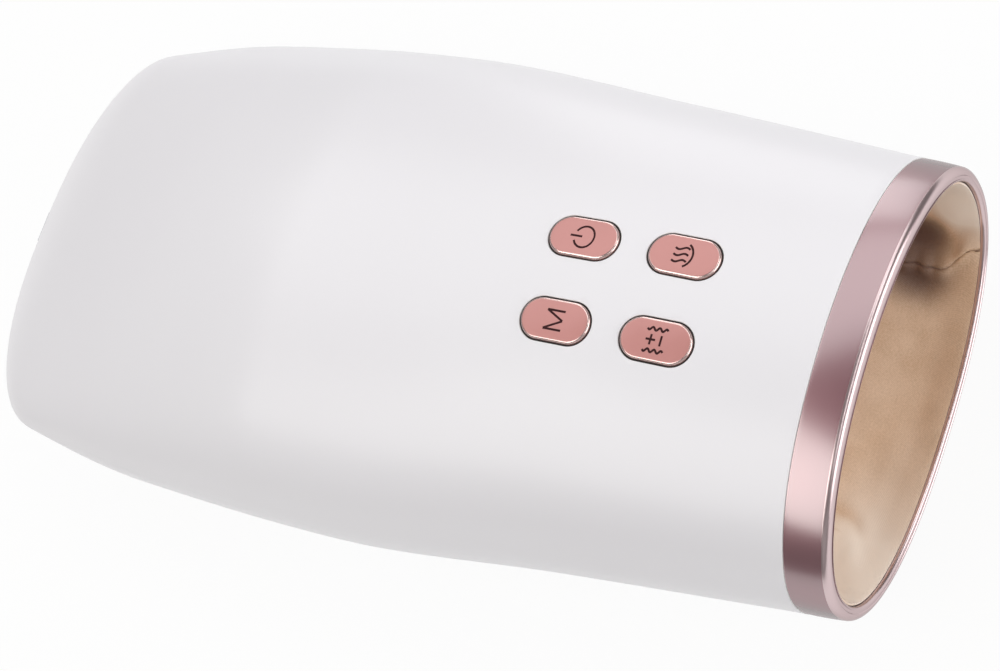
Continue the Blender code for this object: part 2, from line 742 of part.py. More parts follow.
# Case screws from below: the front pair into the lower frame, the rear pair into the top shell
CASE_SCREW_OFFSET = 0.0180
FRONT_SCREW_DEPTH = 0.0700
REAR_SCREW_ROOM = 0.0390
CASE_SCREW_DEPTHS = (FRONT_SCREW_DEPTH, LENGTH - REAR_SCREW_ROOM)
CASE_SCREW_RADIUS = 0.0013
CASE_SCREW_HEAD = 0.0026
CASE_BOSS_RADIUS = 0.0042
CASE_WELL_WALL = 0.0020
FRAME_BOSS_RADIUS = 0.0030
CASE_SCREWS = [(side * CASE_SCREW_OFFSET, depth) for depth in CASE_SCREW_DEPTHS for side in (-1.0, 1.0)]
CASE_POST_LEVEL = FOOT_STAND + PARTING_HEIGHT


def case_seat_level(x, depth):
    """Where a case screw's head bears, inside its boss."""
    return floor_level(hull_outline(depth), x) + SCREW_HEAD_HEIGHT + CASE_WELL_WALL


def boss_top(x, depth):
    """The front bosses end under the lower frame, and the rear ones at the parting line."""
    if depth < SLEEVE_END:
        return floor_level(sleeve_outline(depth), x) - FRAME_BOSS_RADIUS - CLEARANCE
    return CASE_POST_LEVEL - CLEARANCE / 2.0


def case_screw_tip(x, depth):
    if depth < SLEEVE_END:
        return floor_level(sleeve_outline(depth), x) - CLEARANCE
    return CASE_POST_LEVEL + SCREW_LENGTH


# Battery: two cells across the hull, in a tray behind the pocket
CELL_RADIUS = 0.0092
CELL_LENGTH = 0.0650
CELL_BEVEL = 0.0006
BOARD_ROOM = 0.0030
TRAY_WALL = 0.0015
TRAY_LEVEL = 0.0098
MAIN_BOARD_DEPTH = SLEEVE_END + BOARD_ROOM
TRAY_FRONT = MAIN_BOARD_DEPTH + BOARD_THICKNESS + BOARD_ROOM
CELL_LEVEL = TRAY_LEVEL + TRAY_WALL + CLEARANCE + CELL_RADIUS
TRAY_LENGTH = 2.0 * TRAY_WALL + 4.0 * CELL_RADIUS + 3.0 * CLEARANCE
TRAY_REAR = TRAY_FRONT + TRAY_LENGTH
TRAY_HALF_WIDTH = CELL_LENGTH / 2.0 + CLEARANCE + TRAY_WALL
TRAY_TOP = CELL_LEVEL + CELL_RADIUS + CLEARANCE
CELL_DEPTHS = (
    TRAY_FRONT + TRAY_WALL + CLEARANCE + CELL_RADIUS,
    TRAY_FRONT + TRAY_WALL + 2.0 * CLEARANCE + 3.0 * CELL_RADIUS,
)
TRAY_RIB_WALL = 0.0016
TRAY_RIB_OFFSET = 0.0200
SLEEVE_RIB_OFFSET = 0.0270


def battery_tray():
    low = (-TRAY_HALF_WIDTH, along(TRAY_FRONT), TRAY_LEVEL)
    high = (TRAY_HALF_WIDTH, along(TRAY_REAR), TRAY_TOP)
    tray = box_object("battery_tray", low, high, DARK_PLASTIC)
    inner_low = (-TRAY_HALF_WIDTH + TRAY_WALL, along(TRAY_FRONT + TRAY_WALL), TRAY_LEVEL + TRAY_WALL)
    inner_high = (TRAY_HALF_WIDTH - TRAY_WALL, along(TRAY_REAR - TRAY_WALL), TRAY_TOP + OVERRUN)
    boolean(tray, box_object("tray_room", inner_low, inner_high, cutter=True), "DIFFERENCE")
    return tray


def battery_cell(name, depth):
    half = CELL_LENGTH / 2.0
    place = (along(depth), CELL_LEVEL)
    cell = rods_object(name, [((-half, *place), (half, *place), CELL_RADIUS)], CELL_WRAP, sides=ROUNDER_SIDES)
    soften(cell, CELL_BEVEL)
    return cell


# Pump over the battery: a motor with an eccentric on its shaft, and a diaphragm head
MOTOR_RADIUS = 0.0115
MOTOR_LENGTH = 0.0290
MOTOR_NOSE_RADIUS = 0.0035
MOTOR_NOSE_LENGTH = 0.0020
SHAFT_RADIUS = 0.0010
SHAFT_BORE = SHAFT_RADIUS + CLEARANCE
SHAFT_SEAT = 0.0060
HEAD_LENGTH = 0.0250
HEAD_HALF_WIDTH = 0.0120
HEAD_BEVEL = 0.0025
CRANK_ROOM_RADIUS = 0.0072
CRANK_ROOM_LENGTH = 0.0100
CRANK_RADIUS = 0.0045
CRANK_THROW = 0.0014
CRANK_LENGTH = 0.0045
CRANK_GAP = 0.0015
NIPPLE_RADIUS = 0.0016
NIPPLE_LENGTH = 0.0050
CRADLE_WALL = 0.0020
CRADLE_HALF_LENGTH = 0.0300
CRADLE_SADDLE_HEIGHT = 0.0060
CRADLE_LEVEL = TRAY_TOP + CLEARANCE
PUMP_LEVEL = CRADLE_LEVEL + CRADLE_WALL + CLEARANCE + HEAD_HALF_WIDTH
PUMP_SHIFT = 0.0030
PUMP_DEPTH = CELL_DEPTHS[0] + PUMP_SHIFT
MOTOR_FRONT_X = 0.0015


def pump_motor():
    y, z = along(PUMP_DEPTH), PUMP_LEVEL
    rear_x = MOTOR_FRONT_X - MOTOR_LENGTH
    motor = rods_object("pump_motor", [((rear_x, y, z), (MOTOR_FRONT_X, y, z), MOTOR_RADIUS)], STEEL, sides=ROUNDER_SIDES)
    nose_end = MOTOR_FRONT_X + MOTOR_NOSE_LENGTH
    nose = [((MOTOR_FRONT_X - MOTOR_NOSE_LENGTH, y, z), (nose_end, y, z), MOTOR_NOSE_RADIUS)]
    boolean(motor, rods_object("motor_nose", nose, cutter=True), "UNION")
    bore = [((nose_end - SHAFT_SEAT, y, z), (nose_end + OVERRUN, y, z), SHAFT_BORE)]
    boolean(motor, rods_object("motor_bore", bore, cutter=True), "DIFFERENCE")
    return motor


def pump_head():
    y, z = along(PUMP_DEPTH), PUMP_LEVEL
    start = MOTOR_FRONT_X + CLEARANCE
    half = HEAD_HALF_WIDTH
    head = box_object("pump_head", (start, y - half, z - half), (start + HEAD_LENGTH, y + half, z + half), DARK_PLASTIC)
    soften(head, HEAD_BEVEL, 2)
    room = [((start - OVERRUN, y, z), (start + CRANK_ROOM_LENGTH, y, z), CRANK_ROOM_RADIUS)]
    boolean(head, rods_object("crank_room", room, cutter=True, sides=ROUNDER_SIDES), "DIFFERENCE")
    tip = start + HEAD_LENGTH + NIPPLE_LENGTH
    nipple = [((tip - 2.0 * NIPPLE_LENGTH, y, z), (tip, y, z), NIPPLE_RADIUS)]
    boolean(head, rods_object("pump_nipple", nipple, cutter=True), "UNION")
    return head


def pump_eccentric():
    """Motor shaft with its off-centre crank hanging at rest, its origin on the shaft's axis."""
    nose_end = MOTOR_NOSE_LENGTH
    seat = nose_end - SHAFT_SEAT + CLEARANCE
    crank_start = nose_end + CRANK_GAP
    crank_end = crank_start + CRANK_LENGTH
    shaft = rods_object("pump_eccentric", [((seat, 0.0, 0.0), (crank_end, 0.0, 0.0), SHAFT_RADIUS)], STEEL)
    crank_rod = [((crank_start, 0.0, -CRANK_THROW), (crank_end + CLEARANCE, 0.0, -CRANK_THROW), CRANK_RADIUS)]
    crank = rods_object("crank", crank_rod, cutter=True, sides=ROUNDER_SIDES)
    boolean(shaft, crank, "UNION")
    for piece in (shaft, crank):
        piece.location = (MOTOR_FRONT_X, along(PUMP_DEPTH), PUMP_LEVEL)
    return shaft


def pump_cradle():
    """A plate over the battery tray, with an upright saddle on each side of the pump."""
    y = along(PUMP_DEPTH)
    reach = HEAD_HALF_WIDTH + CLEARANCE + CRADLE_WALL
    top = CRADLE_LEVEL + CRADLE_WALL
    low = (-CRADLE_HALF_LENGTH, y - reach, CRADLE_LEVEL)
    high = (CRADLE_HALF_LENGTH, y + reach, top + CRADLE_SADDLE_HEIGHT)
    cradle = box_object("pump_cradle", low, high, BLACK_RUBBER)
    room_low = (-CRADLE_HALF_LENGTH - OVERRUN, y - reach + CRADLE_WALL, top)
    room_high = (CRADLE_HALF_LENGTH + OVERRUN, y + reach - CRADLE_WALL, top + OVERRUN + CRADLE_SADDLE_HEIGHT)
    boolean(cradle, box_object("cradle_room", room_low, room_high, cutter=True), "DIFFERENCE")
    return cradle


# Solenoid valves beside the battery, on ribs of the bottom shell
VALVE_SIDE = 0.0100
VALVE_HEIGHT = 0.0160
VALVE_BEVEL = 0.0008
VALVE_GAP = 0.0040
VALVE_LEVEL = 0.0165
VALVE_X = TRAY_HALF_WIDTH + VALVE_GAP + VALVE_SIDE / 2.0
VALVE_DEPTHS = {"fill_valve": CELL_DEPTHS[0] - CELL_RADIUS + VALVE_SIDE / 2.0, "release_valve": CELL_DEPTHS[1]}
VALVE_RIB_WALL = 0.0020


def valve(name, depth):
    half = VALVE_SIDE / 2.0
    y = along(depth)
    low = (VALVE_X - half, y - half, VALVE_LEVEL)
    high = (VALVE_X + half, y + half, VALVE_LEVEL + VALVE_HEIGHT)
    body = box_object(name, low, high, STEEL, bevel=VALVE_BEVEL)
    top = VALVE_LEVEL + VALVE_HEIGHT
    nipple = [((VALVE_X, y, top - NIPPLE_LENGTH), (VALVE_X, y, top + NIPPLE_LENGTH), NIPPLE_RADIUS)]
    boolean(body, rods_object(name + "_nipple", nipple, cutter=True), "UNION")
    return body


# Main board, upright between the pocket and the battery, in two slotted posts of the bottom shell
MAIN_BOARD_HALF_WIDTH = 0.0400
MAIN_BOARD_LEVEL = 0.0120
MAIN_BOARD_TOP = 0.0500
CHIP_SIDE = 0.0090
CHIP_HEIGHT = 0.0013
BOARD_POST_RADIUS = 0.0035
BOARD_POST_OFFSET = 0.0320
BOARD_SLOT_DEPTH = 0.0050


def main_board():
    low = (-MAIN_BOARD_HALF_WIDTH, along(MAIN_BOARD_DEPTH), MAIN_BOARD_LEVEL)
    high = (MAIN_BOARD_HALF_WIDTH, along(MAIN_BOARD_DEPTH + BOARD_THICKNESS), MAIN_BOARD_TOP)
    board = box_object("main_board", low, high, BOARD_GREEN)
    bm = bmesh.new()
    middle = (MAIN_BOARD_LEVEL + MAIN_BOARD_TOP) / 2.0
    rear = MAIN_BOARD_DEPTH + BOARD_THICKNESS
    for x in (-2.0 * CHIP_SIDE, 0.0, 2.0 * CHIP_SIDE):
        corner = (x - CHIP_SIDE / 2.0, along(rear - BOARD_THICKNESS / 2.0), middle)
        add_box(bm, corner, (x + CHIP_SIDE / 2.0, along(rear + CHIP_HEIGHT), middle + CHIP_SIDE))
    boolean(board, mesh_object("chips", bm, cutter=True), "UNION")
    return board


# Flat cable over the sleeve, from the key board to the main board
RIBBON_HALF_WIDTH = 0.0060
RIBBON_THICKNESS = 0.0004


def key_ribbon():
    """Drawn from the side along the sleeve's roof, and extruded across."""
    start = KEY_BOARD_REAR + CLEARANCE
    low = SLEEVE_TOP + CLEARANCE
    end = SLEEVE_END + CLEARANCE
    down = MAIN_BOARD_TOP + CLEARANCE
    lift = KEY_BOARD_BOTTOM
    under = MAIN_BOARD_DEPTH + BOARD_THICKNESS / 2.0
    run = KEY_BOARD_MARGIN
    route = [(start, lift), (start + run, low), (end, low), (under, low - RIBBON_THICKNESS), (under, down)]
    bm = bmesh.new()
    upper = [(depth + RIBBON_THICKNESS * (i > 2), level + RIBBON_THICKNESS * (i < 4)) for i, (depth, level) in enumerate(route)]
    outline = route + upper[::-1]
    face = bm.faces.new([bm.verts.new((-RIBBON_HALF_WIDTH, along(d), z)) for d, z in outline])
    moved = bmesh.ops.extrude_face_region(bm, geom=[face])["geom"]
    verts = [item for item in moved if isinstance(item, bmesh.types.BMVert)]
    bmesh.ops.translate(bm, verts=verts, vec=(2.0 * RIBBON_HALF_WIDTH, 0.0, 0.0))
    return mesh_object("key_ribbon", bm, INNER_PLASTIC)


# Charging jack in the nose, on its own small board
JACK_HALF_WIDTH = 0.0045
JACK_HEIGHT = 0.0032
JACK_DEPTH = 0.0090
JACK_WALL = 0.0005
JACK_RECESS = 0.0010
JACK_MOUTH_SHARE = 0.7
JACK_BOARD_GAP = 0.0060
JACK_HOLE_GAP = 0.0004
JACK_BOARD_HALF_WIDTH = 0.0080
JACK_BOARD_LENGTH = 0.0120
JACK_POST_RADIUS = 0.0022
JACK_POST_OFFSET = JACK_HALF_WIDTH + CLEARANCE + JACK_POST_RADIUS
JACK_END = LENGTH - JACK_RECESS
JACK_LEVEL = FOOT_STAND + BELT_SHARE * HULL_TOPS[-1]
JACK_BOARD_TOP = JACK_LEVEL - JACK_HEIGHT / 2.0 - CLEARANCE
JACK_BOARD_REAR = LENGTH - SHELL_WALL - JACK_BOARD_GAP
JACK_BOARD_FRONT = JACK_BOARD_REAR - JACK_BOARD_LENGTH


def charging_jack():
    base = JACK_LEVEL - JACK_HEIGHT / 2.0
    low = (-JACK_HALF_WIDTH, along(JACK_END - JACK_DEPTH), base)
    jack = box_object("charging_jack", low, (JACK_HALF_WIDTH, along(JACK_END), base + JACK_HEIGHT), STEEL)
    mouth_low = (-JACK_HALF_WIDTH + JACK_WALL, along(JACK_END - JACK_DEPTH * JACK_MOUTH_SHARE), base + JACK_WALL)
    mouth_high = (JACK_HALF_WIDTH - JACK_WALL, along(JACK_END + OVERRUN), base + JACK_HEIGHT - JACK_WALL)
    boolean(jack, box_object("jack_mouth", mouth_low, mouth_high, cutter=True), "DIFFERENCE")
    return jack


def jack_board():
    low = (-JACK_BOARD_HALF_WIDTH, along(JACK_BOARD_FRONT), JACK_BOARD_TOP - BOARD_THICKNESS)
    high = (JACK_BOARD_HALF_WIDTH, along(JACK_BOARD_REAR), JACK_BOARD_TOP)
    return box_object("jack_board", low, high, BOARD_GREEN)


# The two shells: the hull's wall cut at the parting line, with what is moulded inside each
SHELL_START = RING_BAND + CLEARANCE
PARTING_LEVEL = FOOT_STAND + PARTING_HEIGHT


def roof_posts():
    """Posts that hang from the roof, for the key board, the rear case screws and the jack board."""
    ceiling = FOOT_STAND + 2.0 * RING_HEIGHT
    posts = [
        ((x, along(d), KEY_BOARD_TOP + CLEARANCE), (x, along(d), ceiling), KEY_POST_RADIUS) for x, d in KEY_POSTS
    ]
    for x, depth in CASE_SCREWS:
        if depth > SLEEVE_END:
            level = CASE_POST_LEVEL + CLEARANCE / 2.0
            posts.append(((x, along(depth), level), (x, along(depth), ceiling), CASE_BOSS_RADIUS))
    for x in (-JACK_POST_OFFSET, JACK_POST_OFFSET):
        y = along(JACK_BOARD_FRONT + JACK_POST_RADIUS)
        posts.append(((x, y, JACK_BOARD_TOP + CLEARANCE), (x, y, ceiling), JACK_POST_RADIUS))
    return posts


def floor_posts():
    """Bosses for the case screws and slotted posts for the main board, standing on the floor."""
    under = -OVERRUN
    posts = [((x, along(d), under), (x, along(d), boss_top(x, d)), CASE_BOSS_RADIUS) for x, d in CASE_SCREWS]
    for side in (-1.0, 1.0):
        x = side * BOARD_POST_OFFSET
        y = along(MAIN_BOARD_DEPTH + BOARD_THICKNESS / 2.0)
        posts.append(((x, y, under), (x, y, MAIN_BOARD_LEVEL + BOARD_SLOT_DEPTH), BOARD_POST_RADIUS))
    return posts


def floor_ribs(bm):
    """Ribs under the sleeve, the battery tray and the valves."""
    under = -OVERRUN
    for side in (-1.0, 1.0):
        x = side * TRAY_RIB_OFFSET
        low = (x - TRAY_RIB_WALL / 2.0, along(TRAY_FRONT), under)
        add_box(bm, low, (x + TRAY_RIB_WALL / 2.0, along(TRAY_REAR), TRAY_LEVEL - CLEARANCE))
        x = side * SLEEVE_RIB_OFFSET
        low = (x - TRAY_RIB_WALL / 2.0, along(FUNNEL_END), under)
        high_level = floor_level(sleeve_outline(SLEEVE_END), SLEEVE_RIB_OFFSET - TRAY_RIB_WALL) - 2.0 * CLEARANCE
        add_box(bm, low, (x + TRAY_RIB_WALL / 2.0, along(SLEEVE_END), high_level))
    for depth in VALVE_DEPTHS.values():
        low = (VALVE_X - VALVE_SIDE / 2.0, along(depth) - VALVE_RIB_WALL / 2.0, under)
        add_box(bm, low, (VALVE_X + VALVE_SIDE / 2.0, along(depth) + VALVE_RIB_WALL / 2.0, VALVE_LEVEL - CLEARANCE))


def shell(name, roof, posts, extra=None):
    """The hull's wall on one side of the parting line, with its posts kept out of the hollow."""
    outer = hull_solid(name + "_hull", SHELL_START, 0.0)
    room = hull_solid(name + "_room", SHELL_START - OVERRUN, SHELL_WALL)
    for index, post in enumerate(posts):
        boolean(room, rods_object(f"{name}_post_{index}", [post], cutter=True), "DIFFERENCE")
    if extra:
        bm = bmesh.new()
        extra(bm)
        boolean(room, mesh_object(name + "_ribs", bm, cutter=True), "DIFFERENCE")
    wide = 2.0 * RING_HALF_WIDTH
    gap = CLEARANCE / 2.0
    if roof:
        low, high = (-wide, -LENGTH, -wide), (wide, LENGTH, PARTING_LEVEL + gap)
    else:
        low, high = (-wide, -LENGTH, PARTING_LEVEL - gap), (wide, LENGTH, 2.0 * wide)
    boolean(outer, room, "DIFFERENCE")
    boolean(outer, box_object(name + "_other_half", low, high, cutter=True), "DIFFERENCE")
    outer.name = name
    outer.hide_render = False
    outer.display_type = "TEXTURED"
    outer.data.materials.append(PEARL)
    CUTTERS.objects.unlink(outer)
    PARTS.objects.link(outer)
    return outer


def top_shell():
    obj = shell("top_shell", True, roof_posts())
    for name, (side, row) in BUTTONS.items():
        boolean(obj, button_hole(name, side, row), "DIFFERENCE")
    holes = []
    for x, depth in KEY_POSTS:
        start = (x, along(depth), KEY_BOARD_TOP)
        holes.append((start, (x, along(depth), KEY_BOARD_BOTTOM + SCREW_LENGTH + CLEARANCE), SCREW_RADIUS + CLEARANCE))
    for x, depth in CASE_SCREWS:
        if depth > SLEEVE_END:
            tip = case_screw_tip(x, depth) + CLEARANCE
            holes.append(((x, along(depth), CASE_POST_LEVEL), (x, along(depth), tip), CASE_SCREW_RADIUS + CLEARANCE))
    boolean(obj, rods_object("roof_screw_holes", holes, cutter=True), "DIFFERENCE")
    gap = JACK_HOLE_GAP
    base = JACK_LEVEL - JACK_HEIGHT / 2.0
    low = (-JACK_HALF_WIDTH - gap, along(LENGTH - SHELL_WALL - OVERRUN), base - gap)
    high = (JACK_HALF_WIDTH + gap, along(LENGTH + OVERRUN), base + JACK_HEIGHT + gap)
    boolean(obj, box_object("jack_hole", low, high, cutter=True), "DIFFERENCE")
    return obj


def bottom_shell():
    obj = shell("bottom_shell", False, floor_posts(), floor_ribs)
    seats = []
    recesses = []
    for x, depth in FEET:
        wall = floor_level(hull_outline(depth), x)
        seats.append(((x, along(depth), FOOT_SEAT_LEVEL), (x, along(depth), wall + SHELL_WALL), FOOT_SEAT_RADIUS))
        roof = FOOT_HEIGHT + CLEARANCE
        recesses.append(((x, along(depth), -OVERRUN), (x, along(depth), roof), FOOT_RADIUS + CLEARANCE))
    boolean(obj, rods_object("foot_seats", seats, cutter=True, sides=ROUNDER_SIDES), "UNION")
    boolean(obj, rods_object("foot_recesses", recesses, cutter=True, sides=ROUNDER_SIDES), "DIFFERENCE")
    wells = []
    shanks = []
    for x, depth in CASE_SCREWS:
        y = along(depth)
        seat = case_seat_level(x, depth)
        wells.append(((x, y, -OVERRUN), (x, y, seat), CASE_SCREW_HEAD + CLEARANCE))
        shanks.append(((x, y, -OVERRUN), (x, y, boss_top(x, depth) + OVERRUN), CASE_SCREW_RADIUS + CLEARANCE))
    boolean(obj, rods_object("screw_wells", wells, cutter=True), "DIFFERENCE")
    boolean(obj, rods_object("screw_shanks", shanks, cutter=True), "DIFFERENCE")
    slot = CLEARANCE
    low = (-MAIN_BOARD_HALF_WIDTH - slot, along(MAIN_BOARD_DEPTH) - slot, MAIN_BOARD_LEVEL - slot)
    high = (MAIN_BOARD_HALF_WIDTH + slot, along(MAIN_BOARD_DEPTH + BOARD_THICKNESS) + slot, MAIN_BOARD_TOP)
    boolean(obj, box_object("board_slot", low, high, cutter=True), "DIFFERENCE")
    return obj


def lower_frame():
    obj = frame("lower_frame", False)
    bosses = []
    holes = []
    for x, depth in CASE_SCREWS:
        if depth < SLEEVE_END:
            y = along(depth)
            top = floor_level(sleeve_outline(depth), x) + SLEEVE_WALL / 2.0
            low = boss_top(x, depth) + CLEARANCE
            bosses.append(((x, y, low), (x, y, top), FRAME_BOSS_RADIUS))
            holes.append(((x, y, low - OVERRUN), (x, y, case_screw_tip(x, depth) + CLEARANCE), CASE_SCREW_RADIUS + CLEARANCE))
    boolean(obj, rods_object("frame_bosses", bosses, cutter=True), "UNION")
    boolean(obj, rods_object("frame_boss_holes", holes, cutter=True), "DIFFERENCE")
    boolean(obj, frame_screw_holes("lower_lug_holes"), "DIFFERENCE")
    return obj


def upper_frame():
    obj = frame("upper_frame", True)
    boolean(obj, frame_screw_holes("upper_lug_holes"), "DIFFERENCE")
    port = bag_port_level()
    start = (BAG_PORT_X, along(SLEEVE_END - OVERRUN), port)
    end = (BAG_PORT_X, along(SLEEVE_END + OVERRUN), port)
    boolean(obj, rods_object("bag_port", [(start, end, TUBE_RADIUS + TUBE_BORE_GAP)], cutter=True), "DIFFERENCE")
    return obj


def frame_screw_holes(name):
    reach = LUG_HEIGHT + OVERRUN
    holes = [
        ((x, y, sleeve_belt() - reach), (x, y, sleeve_belt() + reach), SCREW_RADIUS + CLEARANCE)
        for x, y in frame_screw_places()
    ]
    return rods_object(name, holes, cutter=True)


# Air tubes, on smooth curves through a few points of their route
TUBE_RADIUS = 0.0024
TUBE_BORE_GAP = 0.0003
TUBE_POINTS = 15
BAG_PORT_X = 0.0200
BAG_PORT_DROP = 0.0032
LINK_LEVEL = 0.0240
LINK_RADIUS = 0.0020


def smooth_route(points, count):
    """Evenly counted points on a curve through the route's own points."""
    padded = [points[0]] + list(points) + [points[-1]]
    spans = len(points) - 1
    route = []
    for step in range(count):
        place = spans * step / (count - 1)
        index = min(int(place), spans - 1)
        t = place - index
        a, b, c, d = (Vector(padded[index + k]) for k in range(4))
        bend = (2.0 * b) + (c - a) * t + (2.0 * a - 5.0 * b + 4.0 * c - d) * t**2 + (3.0 * b - a - 3.0 * c + d) * t**3
        route.append(bend / 2.0)
    return route


def tube(name, points):
    curve = bpy.data.curves.new(name, "CURVE")
    curve.dimensions = "3D"
    route = smooth_route(points, TUBE_POINTS)
    spline = curve.splines.new("POLY")
    spline.points.add(len(route) - 1)
    for point, place in zip(spline.points, route):
        point.co = (*place, 1.0)
    curve.bevel_depth = TUBE_RADIUS
    curve.bevel_resolution = 2
    curve.use_fill_caps = True
    return finish_object(bpy.data.objects.new(name, curve), CLEAR_TUBE)


def air_tubes():
    head_tip = MOTOR_FRONT_X + CLEARANCE + HEAD_LENGTH + NIPPLE_LENGTH + CLEARANCE
    y, z = along(PUMP_DEPTH), PUMP_LEVEL
    valve_top = VALVE_LEVEL + VALVE_HEIGHT + NIPPLE_LENGTH + CLEARANCE
    fill_y = along(VALVE_DEPTHS["fill_valve"])
    bend = 2.0 * TUBE_RADIUS
    pump_route = [
        (head_tip, y, z),
        (head_tip + bend, y, z),
        (VALVE_X, (y + fill_y) / 2.0, z - bend / 2.0),
        (VALVE_X, fill_y, valve_top + bend),
        (VALVE_X, fill_y, valve_top + bend / 2.0),
        (VALVE_X, fill_y, valve_top),
    ]
    tube("pump_tube", pump_route)
    release_y = along(VALVE_DEPTHS["release_valve"])
    port = bag_port_level()
    over = z + bend
    bag_route = [
        (BAG_PORT_X, along(AIRBAG_REAR + CLEARANCE), port),
        (BAG_PORT_X, along(SLEEVE_END), port),
        (BAG_PORT_X, along(SLEEVE_END + bend), port),
        (VALVE_X - bend, y - HEAD_HALF_WIDTH, over),
        (VALVE_X, (y + release_y) / 2.0, over - bend / 2.0),
        (VALVE_X, release_y, valve_top + bend),
        (VALVE_X, release_y, valve_top + bend / 2.0),
        (VALVE_X, release_y, valve_top),
    ]
    tube("bag_tube", bag_route)
    half = VALVE_SIDE / 2.0 + CLEARANCE
    link = ((VALVE_X, fill_y + half, LINK_LEVEL), (VALVE_X, release_y - half, LINK_LEVEL), LINK_RADIUS)
    rods_object("valve_link", [link], CLEAR_TUBE)


def bag_port_level():
    """Height of the airbag's tube where it leaves the sleeve."""
    return sleeve_roof(SLEEVE_END, BAG_PORT_X) - BAG_PORT_DROP


def build():
    top_shell()
    bottom_shell()
    front_ring()
    liner_hoop()
    for name, (side, row) in BUTTONS.items():
        button(name, side, row)
    key_board()
    for index, (x, depth) in enumerate(KEY_POSTS, 1):
        screw(f"key_screw_{index}", (x, along(depth), KEY_BOARD_BOTTOM - CLEARANCE), True)
    upper_frame()
    lower_frame()
    lug_under = sleeve_belt() - LUG_HEIGHT - 2.0 * CLEARANCE
    for index, (x, y) in enumerate(frame_screw_places(), 1):
        screw(f"frame_screw_{index}", (x, y, lug_under), True, FRAME_SCREW_LENGTH)
    slab("upper_airbag", AIRBAG_HALF_WIDTH, AIRBAG_FRONT, AIRBAG_REAR, airbag_bottom, airbag_top, AIRBAG_FILM)
    pad_half = AIRBAG_HALF_WIDTH - PAD_MARGIN
    slab("press_pad", pad_half, AIRBAG_FRONT + PAD_MARGIN, AIRBAG_REAR - PAD_MARGIN, pad_bottom, pad_top, FOAM)
    slab("palm_foam", PALM_HALF_WIDTH, PALM_FRONT, PALM_REAR, foam_bottom, foam_top, FOAM)
    slab("heating_film", PALM_HALF_WIDTH, PALM_FRONT, PALM_REAR, film_bottom, film_top, HEAT_FILM)
    palm_plate()
    liner_depths = [LINER_FRONT, (LINER_FRONT + SPIGOT_END) / 2.0] + sleeve_depths(SPIGOT_END, LINER_END)
    half_shell("liner_upper", liner_outline, liner_depths, True, LINER_WALL, TAN_SATIN)
    half_shell("liner_lower", liner_outline, liner_depths, False, LINER_WALL, TAN_SATIN)
    main_board()
    key_ribbon()
    battery_tray()
    for index, depth in enumerate(CELL_DEPTHS, 1):
        battery_cell(f"battery_cell_{index}", depth)
    pump_cradle()
    pump_motor()
    pump_head()
    pump_eccentric()
    for name, depth in VALVE_DEPTHS.items():
        valve(name, depth)
    air_tubes()
    charging_jack()
    jack_board()
    for index, (x, depth) in enumerate(FEET, 1):
        foot = [((x, along(depth), 0.0), (x, along(depth), FOOT_HEIGHT), FOOT_RADIUS)]
        rods_object(f"rubber_foot_{index}", foot, BLACK_RUBBER, sides=ROUNDER_SIDES)
    for index, (x, depth) in enumerate(CASE_SCREWS, 1):
        seat = case_seat_level(x, depth) - CLEARANCE
        length = case_screw_tip(x, depth) - seat
        screw(f"case_screw_{index}", (x, along(depth), seat), True, length, CASE_SCREW_RADIUS, CASE_SCREW_HEAD)


build()
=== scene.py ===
import math

import bmesh
import bpy
from mathutils import Euler, Matrix, Vector, noise


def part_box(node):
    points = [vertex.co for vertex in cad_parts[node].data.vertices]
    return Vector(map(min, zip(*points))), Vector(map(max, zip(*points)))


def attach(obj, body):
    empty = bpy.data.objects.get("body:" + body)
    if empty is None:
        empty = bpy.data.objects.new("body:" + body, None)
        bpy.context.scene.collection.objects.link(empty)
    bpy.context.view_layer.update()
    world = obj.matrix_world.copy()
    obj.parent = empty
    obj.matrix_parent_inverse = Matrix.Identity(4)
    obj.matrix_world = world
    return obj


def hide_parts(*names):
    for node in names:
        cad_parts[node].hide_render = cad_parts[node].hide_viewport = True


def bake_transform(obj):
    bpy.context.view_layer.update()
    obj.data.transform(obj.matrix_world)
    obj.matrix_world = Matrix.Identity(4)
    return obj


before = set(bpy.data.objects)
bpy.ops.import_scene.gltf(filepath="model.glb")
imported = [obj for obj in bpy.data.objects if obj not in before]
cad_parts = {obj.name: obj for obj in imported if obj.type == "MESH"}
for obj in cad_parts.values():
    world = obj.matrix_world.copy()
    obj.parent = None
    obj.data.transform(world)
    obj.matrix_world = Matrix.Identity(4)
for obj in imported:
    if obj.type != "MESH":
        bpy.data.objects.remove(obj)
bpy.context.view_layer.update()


# The view: the photograph's camera, a pale floor that keeps the shadow, and soft lamps.
# The camera looks down on the hull from its left front, with the mouth at the right of the picture.
CAMERA_PLACE = (-0.18672, -0.37588, 0.63563)
CAMERA_TURN = (0.42115, 0.41730, -1.20803)
CAMERA_LENS = 99.41
SENSOR_WIDTH = 36.0
CLIP_START = 0.01
FLOOR_SIDES = 64
FLOOR_REACH = 4.0
WHITE_REACH = 0.55
WHITE_END = 1.3
WHITE = (1.0, 1.0, 1.0, 1.0)
FLOOR_PAINT = (0.86, 0.86, 0.86, 1.0)
FLOOR_LIFT_SHARE = 0.93
SKY_LIGHT = 0.18
DAYLIGHT = (1.0, 1.0, 1.0)
WARM_LIGHT = (1.0, 0.985, 0.95)

